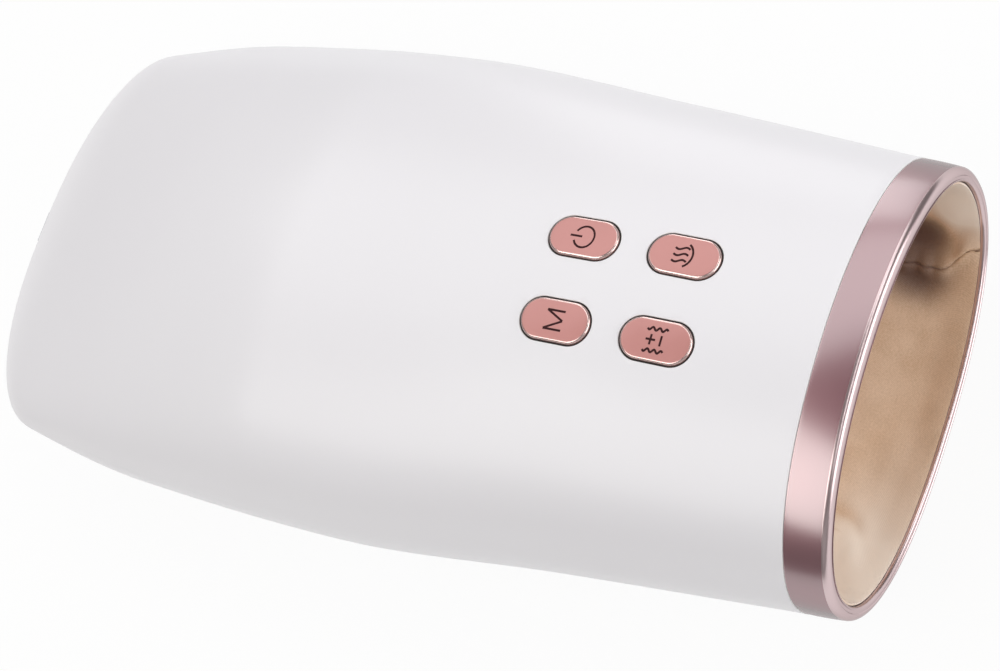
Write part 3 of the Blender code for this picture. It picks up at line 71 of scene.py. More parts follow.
# Each lamp has its place, the point it aims at, its width and height, its watts and its colour.
LAMPS = {
    "overhead_softbox": ((0.48, 0.26, 0.85), (0.0, 0.0, 0.04), 1.45, 0.7, 4.5, DAYLIGHT),
    "warm_softbox": ((-0.58, 0.34, 0.96), (0.0, 0.08, 0.04), 0.98, 0.80, 6.4, WARM_LIGHT),
    "rim_strip": ((0.15, -0.62, 1.00), (0.0, -0.1, 0.06), 1.4, 0.16, 1.8, DAYLIGHT),
    "mouth_softbox": ((0.16, -1.0, 0.32), (0.0, -0.1, 0.03), 1.1, 0.5, 4.7, DAYLIGHT),
    "side_softbox": ((-0.85, -0.55, 0.42), (0.0, -0.05, 0.03), 0.8, 0.5, 0.3, DAYLIGHT),
    "horizon_softbox": ((1.15, 0.36, 0.36), (0.0, -0.1, 0.06), 0.5, 0.7, 2.3, DAYLIGHT),
}

scene = bpy.context.scene
scene.view_settings.view_transform = "Standard"


def feed(tree, value, socket):
    """Link a socket to another one, or give it its value."""
    if isinstance(value, bpy.types.NodeSocket):
        tree.links.new(value, socket)
    else:
        socket.default_value = value


def add_node(tree, kind, *values, **settings):
    """A node with its settings, its inputs fed in turn."""
    made = tree.nodes.new(kind)
    for key, value in settings.items():
        setattr(made, key, value)
    for socket, value in zip(made.inputs, values):
        feed(tree, value, socket)
    return made


def calc(tree, operation, *values):
    return add_node(tree, "ShaderNodeMath", *values, operation=operation).outputs[0]


def seen_directly(tree):
    """1 where the camera looks straight at the surface, or in a mirror or through glass."""
    path = tree.nodes.new("ShaderNodeLightPath").outputs
    either = calc(tree, "MAXIMUM", path["Is Camera Ray"], path["Is Glossy Ray"])
    return calc(tree, "MAXIMUM", either, path["Is Transmission Ray"])


def place_camera():
    data = bpy.data.cameras.new("photo_camera")
    data.sensor_fit = "HORIZONTAL"
    data.sensor_width = SENSOR_WIDTH
    data.lens = CAMERA_LENS
    data.clip_start = CLIP_START
    camera = bpy.data.objects.new("photo_camera", data)
    camera.location = CAMERA_PLACE
    camera.rotation_euler = CAMERA_TURN
    scene.collection.objects.link(camera)
    scene.camera = camera


def lay_floor():
    bm = bmesh.new()
    bmesh.ops.create_circle(bm, cap_ends=True, segments=FLOOR_SIDES, radius=FLOOR_REACH)
    data = bpy.data.meshes.new("floor")
    bm.to_mesh(data)
    bm.free()
    floor = bpy.data.objects.new("floor", data)
    scene.collection.objects.link(floor)
    look = bpy.data.materials.new("pale_floor")
    look.use_nodes = True
    tree = look.node_tree
    tree.nodes.clear()
    paint = add_node(tree, "ShaderNodeBsdfDiffuse", FLOOR_PAINT)
    bright = add_node(tree, "ShaderNodeEmission", WHITE, 1.0)
    place = tree.nodes.new("ShaderNodeTexCoord").outputs["Object"]
    away = add_node(tree, "ShaderNodeVectorMath", place, operation="LENGTH").outputs["Value"]
    near = add_node(tree, "ShaderNodeMapRange", away, WHITE_REACH, WHITE_END, 1.0, 0.0).outputs[0]
    lift = calc(tree, "MULTIPLY", calc(tree, "MULTIPLY", seen_directly(tree), near), FLOOR_LIFT_SHARE)
    mixed = add_node(tree, "ShaderNodeMixShader", lift, paint.outputs[0], bright.outputs[0])
    add_node(tree, "ShaderNodeOutputMaterial", mixed.outputs[0])
    data.materials.append(look)


def light_world():
    world = bpy.data.worlds.new("studio")
    scene.world = world
    world.use_nodes = True
    tree = world.node_tree
    tree.nodes.clear()
    background = add_node(tree, "ShaderNodeBackground", WHITE, SKY_LIGHT)
    add_node(tree, "ShaderNodeOutputWorld", background.outputs[0])


def hang_lamp(name, place, aim, width, height, watts, colour):
    data = bpy.data.lights.new(name, "AREA")
    data.shape = "RECTANGLE"
    data.size = width
    data.size_y = height
    data.energy = watts
    data.color = colour
    lamp = bpy.data.objects.new(name, data)
    lamp.location = place
    lamp.rotation_euler = (Vector(aim) - Vector(place)).to_track_quat("-Z", "Y").to_euler()
    scene.collection.objects.link(lamp)


place_camera()
lay_floor()
light_world()
for name, lamp in LAMPS.items():
    hang_lamp(name, *lamp)


# The two hull shells, injection moulded in gloss pearl-white plastic and screwed together from below.
# A depth runs along the hull from the mouth, and both shells are cut from one hull that follows a rule.
LENGTH = 0.273
RING_HALF_WIDTH = 0.0577
RING_HEIGHT = 0.0686
RING_BAND = 0.0112
RING_FLARE = 0.0007
RING_RISE = 0.0007
FOOT_STAND = 0.0015
SHELL_WALL = 0.0026
CLEARANCE = 0.0003
PARTING_LEVEL = 0.0235
MOUTH_GAP = 0.00005
SHELL_START = RING_BAND + MOUTH_GAP
STATION_SHARES = (0.28, 0.52, 0.76, 1.0)
HULL_HALF_WIDTHS = (0.0632, 0.0682, 0.0655, 0.0540)
HULL_TOPS = (0.0721, 0.0693, 0.0658, 0.0610)
HULL_REACH = 0.08
BELT_SHARE = 0.4965
ROOF_POWER = 2.057
FLOOR_POWER = 2.277
ROOF_CLOSING = (0.1095, 1.387)
FLOOR_CLOSING = (0.0670, 2.2)
SIDE_CLOSING = (0.0237, 2.25)
HULL_AROUND = 128
HULL_ROWS = 140
HULL_CROWDING = 1.8
CLOSED_ROW = 0.25 / HULL_ROWS
CURVE_POINTS = 40
SHARP = math.radians(32.0)
WELD = 0.000002
MOUTH_ROUND = 0.00022
MOUTH_ROUND_SEGMENTS = 3
MOUTH_TOLERANCE = 0.00001
OUTER_FACE_SHARE = 0.97


def clamped(value):
    return min(max(value, 0.0), 1.0)


def smooth_step(share):
    return share * share * (3.0 - 2.0 * share)


def eased(places, values, place):
    """A smooth curve through the values that never swings past them."""
    spans = [b - a for a, b in zip(places, places[1:])]
    slopes = [(b - a) / s for a, b, s in zip(values, values[1:], spans)]
    tangents = [slopes[0]]
    for before, after in zip(slopes, slopes[1:]):
        tangents.append(2.0 * before * after / (before + after) if before * after > 0.0 else 0.0)
    tangents.append(slopes[-1])
    index = 0
    while index < len(spans) - 1 and place > places[index + 1]:
        index += 1
    t = clamped((place - places[index]) / spans[index])
    share = smooth_step(t)
    bend = tangents[index] * t * (1.0 - t) ** 2 - tangents[index + 1] * t * t * (1.0 - t)
    return values[index] * (1.0 - share) + values[index + 1] * share + bend * spans[index]


def hull_width_and_top(depth):
    """Half width and height of the hull before its nose rounds off."""
    if depth < RING_BAND:
        share = max(depth, 0.0) / RING_BAND
        return RING_HALF_WIDTH + RING_FLARE * share, RING_HEIGHT + RING_RISE * share
    places = [RING_BAND] + [share * LENGTH for share in STATION_SHARES]
    half = eased(places, (RING_HALF_WIDTH + RING_FLARE, *HULL_HALF_WIDTHS), depth)
    return half, eased(places, (RING_HEIGHT + RING_RISE, *HULL_TOPS), depth)


def closing(depth, length, power):
    share = clamped((depth - LENGTH + length) / length)
    return (1.0 - share**power) ** (1.0 / power)


def hull_outline(depth):
    """Half width, top, bottom and belt level of the hull's outer face at a depth."""
    half, top = hull_width_and_top(depth)
    belt = BELT_SHARE * top
    level = FOOT_STAND + belt
    roof = (top - belt) * closing(depth, *ROOF_CLOSING)
    floor = belt * closing(depth, *FLOOR_CLOSING)
    return half * closing(depth, *SIDE_CLOSING), level + roof, level - floor, level


def along(depth):
    """World Y of a depth from the mouth rim."""
    return depth - LENGTH / 2.0


def link_mesh(name, data, look=None):
    if look:
        data.materials.clear()
        data.materials.append(look)
    obj = bpy.data.objects.new(name, data)
    scene.collection.objects.link(obj)
    return obj


def from_bmesh(name, bm, look=None, turn_out=True):
    """An object from built faces, its doubles merged and its faces turned outwards."""
    bmesh.ops.remove_doubles(bm, verts=bm.verts, dist=WELD)
    if turn_out:
        bmesh.ops.recalc_face_normals(bm, faces=bm.faces)
    data = bpy.data.meshes.new(name)
    bm.to_mesh(data)
    bm.free()
    return smoothed(link_mesh(name, data, look))


def smoothed(obj, angle=SHARP):
    obj.data.shade_smooth()
    obj.data.set_sharp_from_angle(angle=angle)
    return obj


def bake_modifiers(obj):
    """Keep what the modifiers make as the object's own mesh."""
    seen = obj.evaluated_get(bpy.context.evaluated_depsgraph_get())
    plain = bpy.data.meshes.new_from_object(seen)
    obj.modifiers.clear()
    obj.data = plain
    return obj


def boolean(obj, other, operation="DIFFERENCE"):
    """Cut or join another solid, which is used up."""
    step = obj.modifiers.new(other.name, "BOOLEAN")
    step.object = other
    step.operation = operation
    step.solver = "EXACT"
    bake_modifiers(obj)
    bpy.data.objects.remove(other)
    return obj


def add_box(bm, low, high):
    size = [b - a for a, b in zip(low, high)]
    middle = [(a + b) / 2.0 for a, b in zip(low, high)]
    bmesh.ops.create_cube(bm, size=1.0, matrix=Matrix.Translation(middle) @ Matrix.Diagonal((*size, 1.0)))


def boxes(name, items):
    bm = bmesh.new()
    for low, high in items:
        add_box(bm, low, high)
    return from_bmesh(name, bm)


SOCKET_KINDS = {
    int: "NodeSocketInt",
    float: "NodeSocketFloat",
    tuple: "NodeSocketColor",
    str: "NodeSocketVector",
    type(None): "NodeSocketGeometry",
    bpy.types.Material: "NodeSocketMaterial",
    bpy.types.Object: "NodeSocketObject",
}


GEOMETRY_OUT = {"Geometry": "NodeSocketGeometry"}
SURFACE_OUT = {"Colour": "NodeSocketColor", "Roughness": "NodeSocketFloat", "Height": "NodeSocketFloat"}


def new_tree(name, kind, inputs, outputs):
    """A node tree with named inputs and outputs, and the sockets of its inputs by name."""
    tree = bpy.data.node_groups.new(name, kind)
    for label, value in inputs.items():
        socket = tree.interface.new_socket(label, in_out="INPUT", socket_type=SOCKET_KINDS[type(value)])
        if isinstance(value, (int, float, tuple)):
            socket.default_value = value
    for label, form in outputs.items():
        tree.interface.new_socket(label, in_out="OUTPUT", socket_type=form)
    return tree, tree.nodes.new("NodeGroupInput").outputs


def painted_output(tree, given, made):
    """End a geometry tree with real faces in its look."""
    real = add_node(tree, "GeometryNodeRealizeInstances", made.outputs[0])
    painted = tree.nodes.new("GeometryNodeSetMaterial")
    feed(tree, real.outputs[0], painted.inputs["Geometry"])
    feed(tree, given["Look"], painted.inputs["Material"])
    add_node(tree, "NodeGroupOutput", painted.outputs[0])
    return tree


def made_by_tree(name, tree, sizes, data=None):
    """The plain mesh that a tree makes with these sizes."""
    obj = link_mesh(name, data or bpy.data.meshes.new(name))
    step = obj.modifiers.new(name, "NODES")
    step.node_group = tree
    for item in tree.interface.items_tree:
        if item.in_out == "INPUT" and item.name in sizes:
            step[item.identifier] = sizes[item.name]
    return bake_modifiers(obj)


def mix_colours(tree, share, under, over, **settings):
    """One colour laid over another by a share, in the sockets that a mix of colours shows."""
    mixed = add_node(tree, "ShaderNodeMix", data_type="RGBA", **settings)
    shown = [socket for socket in mixed.inputs if socket.enabled]
    for socket, value in zip(shown, (share, under, over)):
        feed(tree, value, socket)
    return [socket for socket in mixed.outputs if socket.enabled][0]


def noise_at(tree, place, scale, detail=2.0):
    """The value of a noise at a place."""
    texture = tree.nodes.new("ShaderNodeTexNoise")
    for label, value in (("Vector", place), ("Scale", scale), ("Detail", detail)):
        feed(tree, value, texture.inputs[label])
    return texture.outputs[0]


def surface_grain():
    """Shader group: clouding, fine grain and uneven gloss of a moulded, coated or plated surface."""
    inputs = {
        "Colour": (0.5, 0.5, 0.5, 1.0),
        "Cloud Colour": (0.5, 0.5, 0.5, 1.0),
        "Cloud Scale": 50.0,
        "Grain Scale": 2500.0,
        "Roughness": 0.4,
        "Roughness Spread": 0.1,
    }
    tree, given = new_tree("surface_grain", "ShaderNodeTree", inputs, SURFACE_OUT)
    place = tree.nodes.new("ShaderNodeTexCoord").outputs["Object"]
    clouds = noise_at(tree, place, given["Cloud Scale"], 3.0)
    grain = noise_at(tree, place, given["Grain Scale"], 3.0)
    mixed = mix_colours(tree, clouds, given["Colour"], given["Cloud Colour"])
    swing = calc(tree, "SUBTRACT", calc(tree, "ADD", clouds, grain), 1.0)
    rough = calc(tree, "MULTIPLY_ADD", swing, given["Roughness Spread"], given["Roughness"])
    add_node(tree, "NodeGroupOutput", mixed, rough, grain)
    return tree


GRAIN = surface_grain()


def principled(name, **fixed):
    """A new material with values set on its shader, the tree and the shader."""
    look = bpy.data.materials.new(name)
    look.use_nodes = True
    shader = look.node_tree.nodes["Principled BSDF"]
    for label, value in fixed.items():
        shader.inputs[label.replace("_", " ")].default_value = value
    return look, look.node_tree, shader


COAT_RELIEF = 0.00002


def surface_group(tree, kind, *values):
    """A surface's shader group in a material, its inputs fed in turn."""
    group = tree.nodes.new("ShaderNodeGroup")
    group.node_tree = kind
    for socket, value in zip(group.inputs, values):
        feed(tree, value, socket)
    return group.outputs


def wire_surface(tree, shader, surface, colour, bump, strength=1.0):
    """Feed the shader from a surface group: colour, roughness, and height through a bump."""
    relief = tree.nodes.new("ShaderNodeBump")
    feed(tree, bump, relief.inputs["Distance"])
    feed(tree, strength, relief.inputs["Strength"])
    feed(tree, surface["Height"], relief.inputs["Height"])
    feed(tree, colour, shader.inputs["Base Color"])
    feed(tree, surface["Roughness"], shader.inputs["Roughness"])
    feed(tree, relief.outputs[0], shader.inputs["Normal"])


def coated(name, colour, cloud, rough, scales=(50.0, 2500.0), bump=COAT_RELIEF, **fixed):
    """A material with clouds and grain in its colour, roughness and relief."""
    look, tree, shader = principled(name, **fixed)
    surface = surface_group(tree, GRAIN, (*colour, 1.0), (*cloud, 1.0), *scales, *rough)
    wire_surface(tree, shader, surface, surface["Colour"], bump)
    return look


PEARL_RELIEF = 0.000004
PEARL = coated(
    "pearl_gloss_plastic",
    (0.82, 0.808, 0.835),
    (0.795, 0.778, 0.81),
    scales=(14.0, 900.0),
    rough=(0.34, 0.03),
    bump=PEARL_RELIEF,
    IOR=1.46,
    Coat_Weight=0.2,
    Coat_Roughness=0.22,
)


def closing_nodes(tree, given, depth, inset, part):
    """Falls from 1 to 0 over a rounding length, as closing does."""
    length = given[part + " Round Length"]
    power = given[part + " Round Power"]
    past = calc(tree, "ADD", calc(tree, "SUBTRACT", depth, given["Length"]), length)
    share = calc(tree, "DIVIDE", past, calc(tree, "SUBTRACT", length, inset))
    share = calc(tree, "MINIMUM", calc(tree, "MAXIMUM", share, 0.0), 1.0)
    left = calc(tree, "SUBTRACT", 1.0, calc(tree, "POWER", share, power))
    return calc(tree, "POWER", left, calc(tree, "DIVIDE", 1.0, power))


def station_curve(tree, share, which):
    """The hull's half width or top as a curve node over its length, in metres."""
    node = tree.nodes.new("ShaderNodeFloatCurve")
    line = node.mapping.curves[0]
    for step in range(CURVE_POINTS + 1):
        place = step / CURVE_POINTS
        value = hull_width_and_top(max(place * LENGTH, RING_BAND))[which] / HULL_REACH
        if step in (0, CURVE_POINTS):
            line.points[0 if step == 0 else -1].location = (place, value)
        else:
            line.points.new(place, value)
    node.mapping.update()
    feed(tree, share, node.inputs["Value"])
    return calc(tree, "MULTIPLY", node.outputs[0], HULL_REACH)


def signed_power(tree, value, power):
    size = calc(tree, "POWER", calc(tree, "ABSOLUTE", value), power)
    return calc(tree, "MULTIPLY", calc(tree, "SIGN", value), size)


def hull_rows(tree, given, place, rows):
    """Each row's depth, its inset from the outer face, and the share of the hull left before the nose."""
    last = calc(tree, "SUBTRACT", rows, 1.0)
    fold = calc(tree, "MULTIPLY", calc(tree, "ABSOLUTE", calc(tree, "MULTIPLY", place[1], 2.0)), last)
    share = calc(tree, "DIVIDE", calc(tree, "SUBTRACT", fold, 1.0), calc(tree, "SUBTRACT", last, 1.0))
    left = calc(tree, "MAXIMUM", calc(tree, "SUBTRACT", 1.0, share), 0.0)
    inset = calc(tree, "MULTIPLY", calc(tree, "GREATER_THAN", place[1], 0.0), given["Wall"])
    nose = calc(tree, "SUBTRACT", given["Length"], inset)
    run = calc(tree, "SUBTRACT", nose, given["Start"])
    eased_left = calc(tree, "POWER", left, given["Crowding"])
    depth = calc(tree, "SUBTRACT", nose, calc(tree, "MULTIPLY", run, eased_left))
    return depth, inset, left


def hull_reaches(tree, given, depth, inset, left):
    """The outline's reach up, down and to the side of its belt, none in the last row, and the belt."""
    station = calc(tree, "DIVIDE", depth, given["Length"])
    half = station_curve(tree, station, 0)
    top = station_curve(tree, station, 1)
    belt = calc(tree, "MULTIPLY", top, given["Belt Share"])
    reach = {}
    for part, size in (("Roof", calc(tree, "SUBTRACT", top, belt)), ("Floor", belt), ("Side", half)):
        closed = closing_nodes(tree, given, depth, inset, part)
        open_row = calc(tree, "GREATER_THAN", left, CLOSED_ROW)
        rounded = calc(tree, "MULTIPLY", closed, open_row)
        reach[part] = calc(tree, "MULTIPLY", calc(tree, "SUBTRACT", size, inset), rounded)
    return reach, belt


def hull_spot(tree, given, turn, depth, reach, belt):
    """A point of the superellipse outline, as outline_point gives it."""
    across, up = calc(tree, "COSINE", turn), calc(tree, "SINE", turn)
    over = calc(tree, "GREATER_THAN", up, 0.0)
    under = calc(tree, "SUBTRACT", 1.0, over)
    power = calc(tree, "MULTIPLY", over, given["Roof Power"])
    power = calc(tree, "DIVIDE", 2.0, calc(tree, "MULTIPLY_ADD", under, given["Floor Power"], power))
    height = calc(tree, "MULTIPLY", over, reach["Roof"])
    height = calc(tree, "MULTIPLY_ADD", under, reach["Floor"], height)
    x = calc(tree, "MULTIPLY", signed_power(tree, across, power), reach["Side"])
    y = calc(tree, "SUBTRACT", depth, calc(tree, "MULTIPLY", given["Length"], 0.5))
    z = calc(tree, "ADD", calc(tree, "MULTIPLY", signed_power(tree, up, power), height), belt)
    return add_node(tree, "ShaderNodeCombineXYZ", x, y, calc(tree, "ADD", z, given["Foot Stand"]))


def hull_tree():
    """A hull open at the mouth: one sheet runs from the nose to the rim, and back along the inside."""
    inputs = {
        "Around": HULL_AROUND,
        "Rows": HULL_ROWS,
        "Length": LENGTH,
        "Start": SHELL_START,
        "Wall": SHELL_WALL,
        "Crowding": HULL_CROWDING,
        "Foot Stand": FOOT_STAND,
        "Belt Share": BELT_SHARE,
        "Roof Power": ROOF_POWER,
        "Floor Power": FLOOR_POWER,
    }
    rounds = {"Roof": ROOF_CLOSING, "Floor": FLOOR_CLOSING, "Side": SIDE_CLOSING}
    for part, (length, power) in rounds.items():
        inputs[part + " Round Length"] = length
        inputs[part + " Round Power"] = power
    inputs["Look"] = PEARL
    tree, given = new_tree("hull_by_rule", "GeometryNodeTree", inputs, GEOMETRY_OUT)
    rows = calc(tree, "MULTIPLY", given["Rows"], 2.0)
    around = calc(tree, "ADD", given["Around"], 1.0)
    grid = add_node(tree, "GeometryNodeMeshGrid", 1.0, 1.0, around, rows)
    spot = tree.nodes.new("GeometryNodeInputPosition").outputs[0]
    place = add_node(tree, "ShaderNodeSeparateXYZ", spot).outputs
    turn = calc(tree, "MULTIPLY", calc(tree, "ADD", place[0], 0.5), 2.0 * math.pi)
    depth, inset, left = hull_rows(tree, given, place, rows)
    reach, belt = hull_reaches(tree, given, depth, inset, left)
    spot = hull_spot(tree, given, turn, depth, reach, belt)
    moved = tree.nodes.new("GeometryNodeSetPosition")
    feed(tree, grid.outputs[0], moved.inputs["Geometry"])
    feed(tree, spot.outputs[0], moved.inputs["Position"])
    welded = tree.nodes.new("GeometryNodeMergeByDistance")
    feed(tree, moved.outputs[0], welded.inputs["Geometry"])
    welded.inputs["Distance"].default_value = WELD
    return painted_output(tree, given, welded)


def turned_out(obj):
    """Faces point outwards on a closed mesh."""
    bm = bmesh.new()
    bm.from_mesh(obj.data)
    bmesh.ops.remove_doubles(bm, verts=bm.verts, dist=WELD)
    bmesh.ops.recalc_face_normals(bm, faces=bm.faces)
    bm.to_mesh(obj.data)
    bm.free()
    return obj


def half_hull(name, roof):
    """The hull on one side of the parting line."""
    obj = turned_out(made_by_tree(name, HULL_TREE, {"Look": PEARL}))
    wide = 2.0 * RING_HALF_WIDTH
    level = PARTING_LEVEL + (CLEARANCE if roof else -CLEARANCE) / 2.0
    low, high = (-wide, level) if roof else (level, 2.0 * wide)
    boolean(obj, boxes(name + "_other_half", [((-wide, -LENGTH, low), (wide, LENGTH, high))]))
    return rounded_mouth(obj)


def rounded_mouth(obj):
    """A small round on the outer edge that meets the ring."""
    bm = bmesh.new()
    bm.from_mesh(obj.data)
    front = along(SHELL_START)
    edges = []
    for edge in bm.edges:
        points = [vert.co for vert in edge.verts]
        at_mouth = all(abs(point.y - front) < MOUTH_TOLERANCE for point in points)
        if at_mouth and all(outermost(point) for point in points):
            edges.append(edge)
    sizes = {"offset": MOUTH_ROUND, "segments": MOUTH_ROUND_SEGMENTS, "profile": 0.5}
    bmesh.ops.bevel(bm, geom=edges, affect="EDGES", clamp_overlap=True, **sizes)
    bm.to_mesh(obj.data)
    bm.free()
    return obj


def outermost(point):
    """Whether a point lies on the hull's outer face at the mouth."""
    half, top, _, belt = hull_outline(SHELL_START)
    reach = (top - belt) if point.z >= belt else (belt - FOOT_STAND)
    power = ROOF_POWER if point.z >= belt else FLOOR_POWER
    return (abs(point.x) / half) ** power + (abs(point.z - belt) / reach) ** power > OUTER_FACE_SHARE


HULL_TREE = hull_tree()


# The top shell has four button holes with rounded edges and a hole for the charging jack. Posts for the
# key board, the jack board and the rear case screws are moulded under its roof.
BUTTON_OFFSET = 0.0111
BUTTON_DEPTHS = {"front": 0.0510, "rear": 0.0784}
BUTTON_LENGTH = 0.0189
BUTTON_WIDTH = 0.0106
BUTTON_GAP = 0.00045
HOLE_ROUND = 0.0002
PILL_STEPS = 24
ARC_STEPS = 6
BUTTONS = {
    "power_button": (1.0, "rear"),
    "heat_button": (1.0, "front"),
    "mode_button": (-1.0, "rear"),
    "level_button": (-1.0, "front"),
}
OVERRUN = 0.004
KEY_POST_RADIUS = 0.0027
KEY_POST_OFFSETS = (0.0208, -0.0208)
KEY_POST_DEPTHS = (0.04275, 0.08665)
KEY_POSTS = [(x, depth) for x in KEY_POST_OFFSETS for depth in KEY_POST_DEPTHS]
KEY_BOARD_TOP = 0.0649
CASE_SCREW_OFFSETS = (-0.0180, 0.0180)
CASE_SCREW_DEPTHS = (0.0700, 0.2340)
CASE_SCREWS = [(x, depth) for depth in CASE_SCREW_DEPTHS for x in CASE_SCREW_OFFSETS]
REAR_CASE_SCREWS = CASE_SCREWS[2:]
CASE_BOSS_RADIUS = 0.0042
JACK_HALF_WIDTH = 0.0045
JACK_LOW = 0.030187
JACK_HIGH = 0.033387
JACK_GAP = 0.0004
JACK_CORNER = 0.0012
JACK_CORNER_SEGMENTS = 5
JACK_POST_OFFSET = 0.007
JACK_POST_DEPTH = 0.2546
JACK_POST_LOW = 0.0304
JACK_POST_RADIUS = 0.0022


def pill_points(length, width):
    """A stadium outline along Y."""
    radius = width / 2.0
    straight = length / 2.0 - radius
    points = []
    for side, start in ((1.0, 0.0), (-1.0, math.pi)):
        for step in range(PILL_STEPS + 1):
            angle = start + math.pi * step / PILL_STEPS
            points.append((radius * math.cos(angle), side * straight + radius * math.sin(angle)))
    return points


def bridge(bm, first, second):
    for index in range(len(first)):
        bm.faces.new((first[index - 1], first[index], second[index], second[index - 1]))


def roof_level(outline, x):
    half, top, _, belt = outline
    share = min(abs(x) / half, 1.0)
    return belt + (top - belt) * (1.0 - share**ROOF_POWER) ** (1.0 / ROOF_POWER)


def button_matrix(side, row):
    """Where a button lies on the roof, leaning as the roof does there."""
    depth = BUTTON_DEPTHS[row]
    x = side * BUTTON_OFFSET
    reach = BUTTON_WIDTH / 2.0
    across = roof_level(hull_outline(depth), x + reach) - roof_level(hull_outline(depth), x - reach)
    back = roof_level(hull_outline(depth + reach), x) - roof_level(hull_outline(depth - reach), x)
    lean = Euler((math.atan2(back, 2.0 * reach), -math.atan2(across, 2.0 * reach), 0.0))
    place = (x, along(depth), roof_level(hull_outline(depth), x))
    return Matrix.Translation(place) @ lean.to_matrix().to_4x4()


def add_pill_hole(bm, matrix):
    """A cutter for a button hole that flares at the roof, so the hole's edge comes out rounded."""
    layers = [(0.0, -SHELL_WALL - OVERRUN, False)]
    for step in range(ARC_STEPS + 1):
        angle = math.pi / 2.0 * step / ARC_STEPS
        layers.append((HOLE_ROUND * (1.0 - math.cos(angle)), HOLE_ROUND * (math.sin(angle) - 1.0), True))
    layers.append((HOLE_ROUND, OVERRUN, False))
    rings = []
    for reach, rise, on_roof in layers:
        wide = 2.0 * (BUTTON_GAP + reach)
        ring = []
        for x, y in pill_points(BUTTON_LENGTH + wide, BUTTON_WIDTH + wide):
            spot = matrix @ Vector((x, y, 0.0))
            if on_roof:
                spot.z = roof_level(hull_outline(spot.y + LENGTH / 2.0), spot.x)
            ring.append(bm.verts.new(spot + matrix.to_3x3() @ Vector((0.0, 0.0, rise))))
        rings.append(ring)
    for first, second in zip(rings, rings[1:]):
        bridge(bm, first, second)
    bm.faces.new(rings[0][::-1])
    bm.faces.new(rings[-1])


def add_rod(bm, start, end, radius, sides):
    way = Vector(end) - Vector(start)
    turn = Vector((0.0, 0.0, 1.0)).rotation_difference(way).to_matrix().to_4x4()
    matrix = Matrix.Translation((Vector(start) + Vector(end)) / 2.0) @ turn
    bmesh.ops.create_cone(
        bm, cap_ends=True, segments=sides, radius1=radius, radius2=radius, depth=way.length, matrix=matrix
    )


def rods(name, items, sides=32):
    bm = bmesh.new()
    for start, end, radius in items:
        add_rod(bm, start, end, radius, sides)
    return from_bmesh(name, bm)


def roof_posts():
    """Posts that end inside the roof's wall, so that they join it."""
    posts = [(x, depth, KEY_BOARD_TOP + CLEARANCE, KEY_POST_RADIUS) for x, depth in KEY_POSTS]
    posts += [(x, depth, PARTING_LEVEL + CLEARANCE, CASE_BOSS_RADIUS) for x, depth in REAR_CASE_SCREWS]
    for x in (-JACK_POST_OFFSET, JACK_POST_OFFSET):
        posts.append((x, JACK_POST_DEPTH, JACK_POST_LOW, JACK_POST_RADIUS))
    items = []
    for x, depth, low, radius in posts:
        high = roof_level(hull_outline(depth + radius), abs(x) + radius) - SHELL_WALL / 3.0
        items.append(((x, along(depth), low), (x, along(depth), high), radius))
    return rods("roof_posts", items)


def button_holes():
    bm = bmesh.new()
    for side, row in BUTTONS.values():
        add_pill_hole(bm, button_matrix(side, row))
    return from_bmesh("button_holes", bm, turn_out=False)


def jack_mouth():
    """A cutter for the jack's hole, with round corners."""
    low = (-JACK_HALF_WIDTH - JACK_GAP, along(LENGTH - SHELL_WALL - OVERRUN), JACK_LOW - JACK_GAP)
    high = (JACK_HALF_WIDTH + JACK_GAP, along(LENGTH + OVERRUN), JACK_HIGH + JACK_GAP)
    mouth = boxes("jack_mouth", [(low, high)])
    corners = mouth.modifiers.new("corners", "BEVEL")
    corners.width = JACK_CORNER
    corners.segments = JACK_CORNER_SEGMENTS
    return bake_modifiers(mouth)


def top_shell():
    shell = half_hull("top_shell_skin", True)
    boolean(shell, roof_posts(), "UNION")
    boolean(shell, button_holes())
    boolean(shell, jack_mouth())
    smoothed(shell)
    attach(shell, "casing")
    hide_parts("top_shell")


top_shell()


# The bottom shell closes the hull below the parting line. Moulded on its floor are bosses for the case
# screws, posts for the main board, ribs for the battery tray and round seats for the rubber feet.
FOOT_RADIUS = 0.0065
FOOT_HEIGHT = 0.0026
FOOT_SEAT_LEVEL = 0.0008
FOOT_SEAT_RADIUS = 0.0088
FOOT_OFFSETS = (-0.0310, 0.0310)
FOOT_DEPTHS = (0.0400, 0.2220)
FEET = [(x, depth) for depth in FOOT_DEPTHS for x in FOOT_OFFSETS]
FRONT_BOSS_HEIGHT = 0.0046
CASE_SCREW_HEAD = 0.0026
CASE_SCREW_SEAT = 0.0033
BOARD_POST_OFFSET = 0.032
BOARD_POST_DEPTH = 0.1757
BOARD_POST_LEVELS = (0.006, 0.017)
BOARD_POST_RADIUS = 0.0035
TRAY_RIB_OFFSET = 0.020
TRAY_RIB_HALF_WIDTH = 0.0008
TRAY_RIB_DEPTHS = (0.178, 0.2195)
TRAY_RIB_LEVELS = (0.004, 0.0095)
ROUND_SIDES = 48


def floor_level(outline, x):
    half, _, bottom, belt = outline
    share = min(abs(x) / half, 1.0)
    return belt - (belt - bottom) * (1.0 - share**FLOOR_POWER) ** (1.0 / FLOOR_POWER)


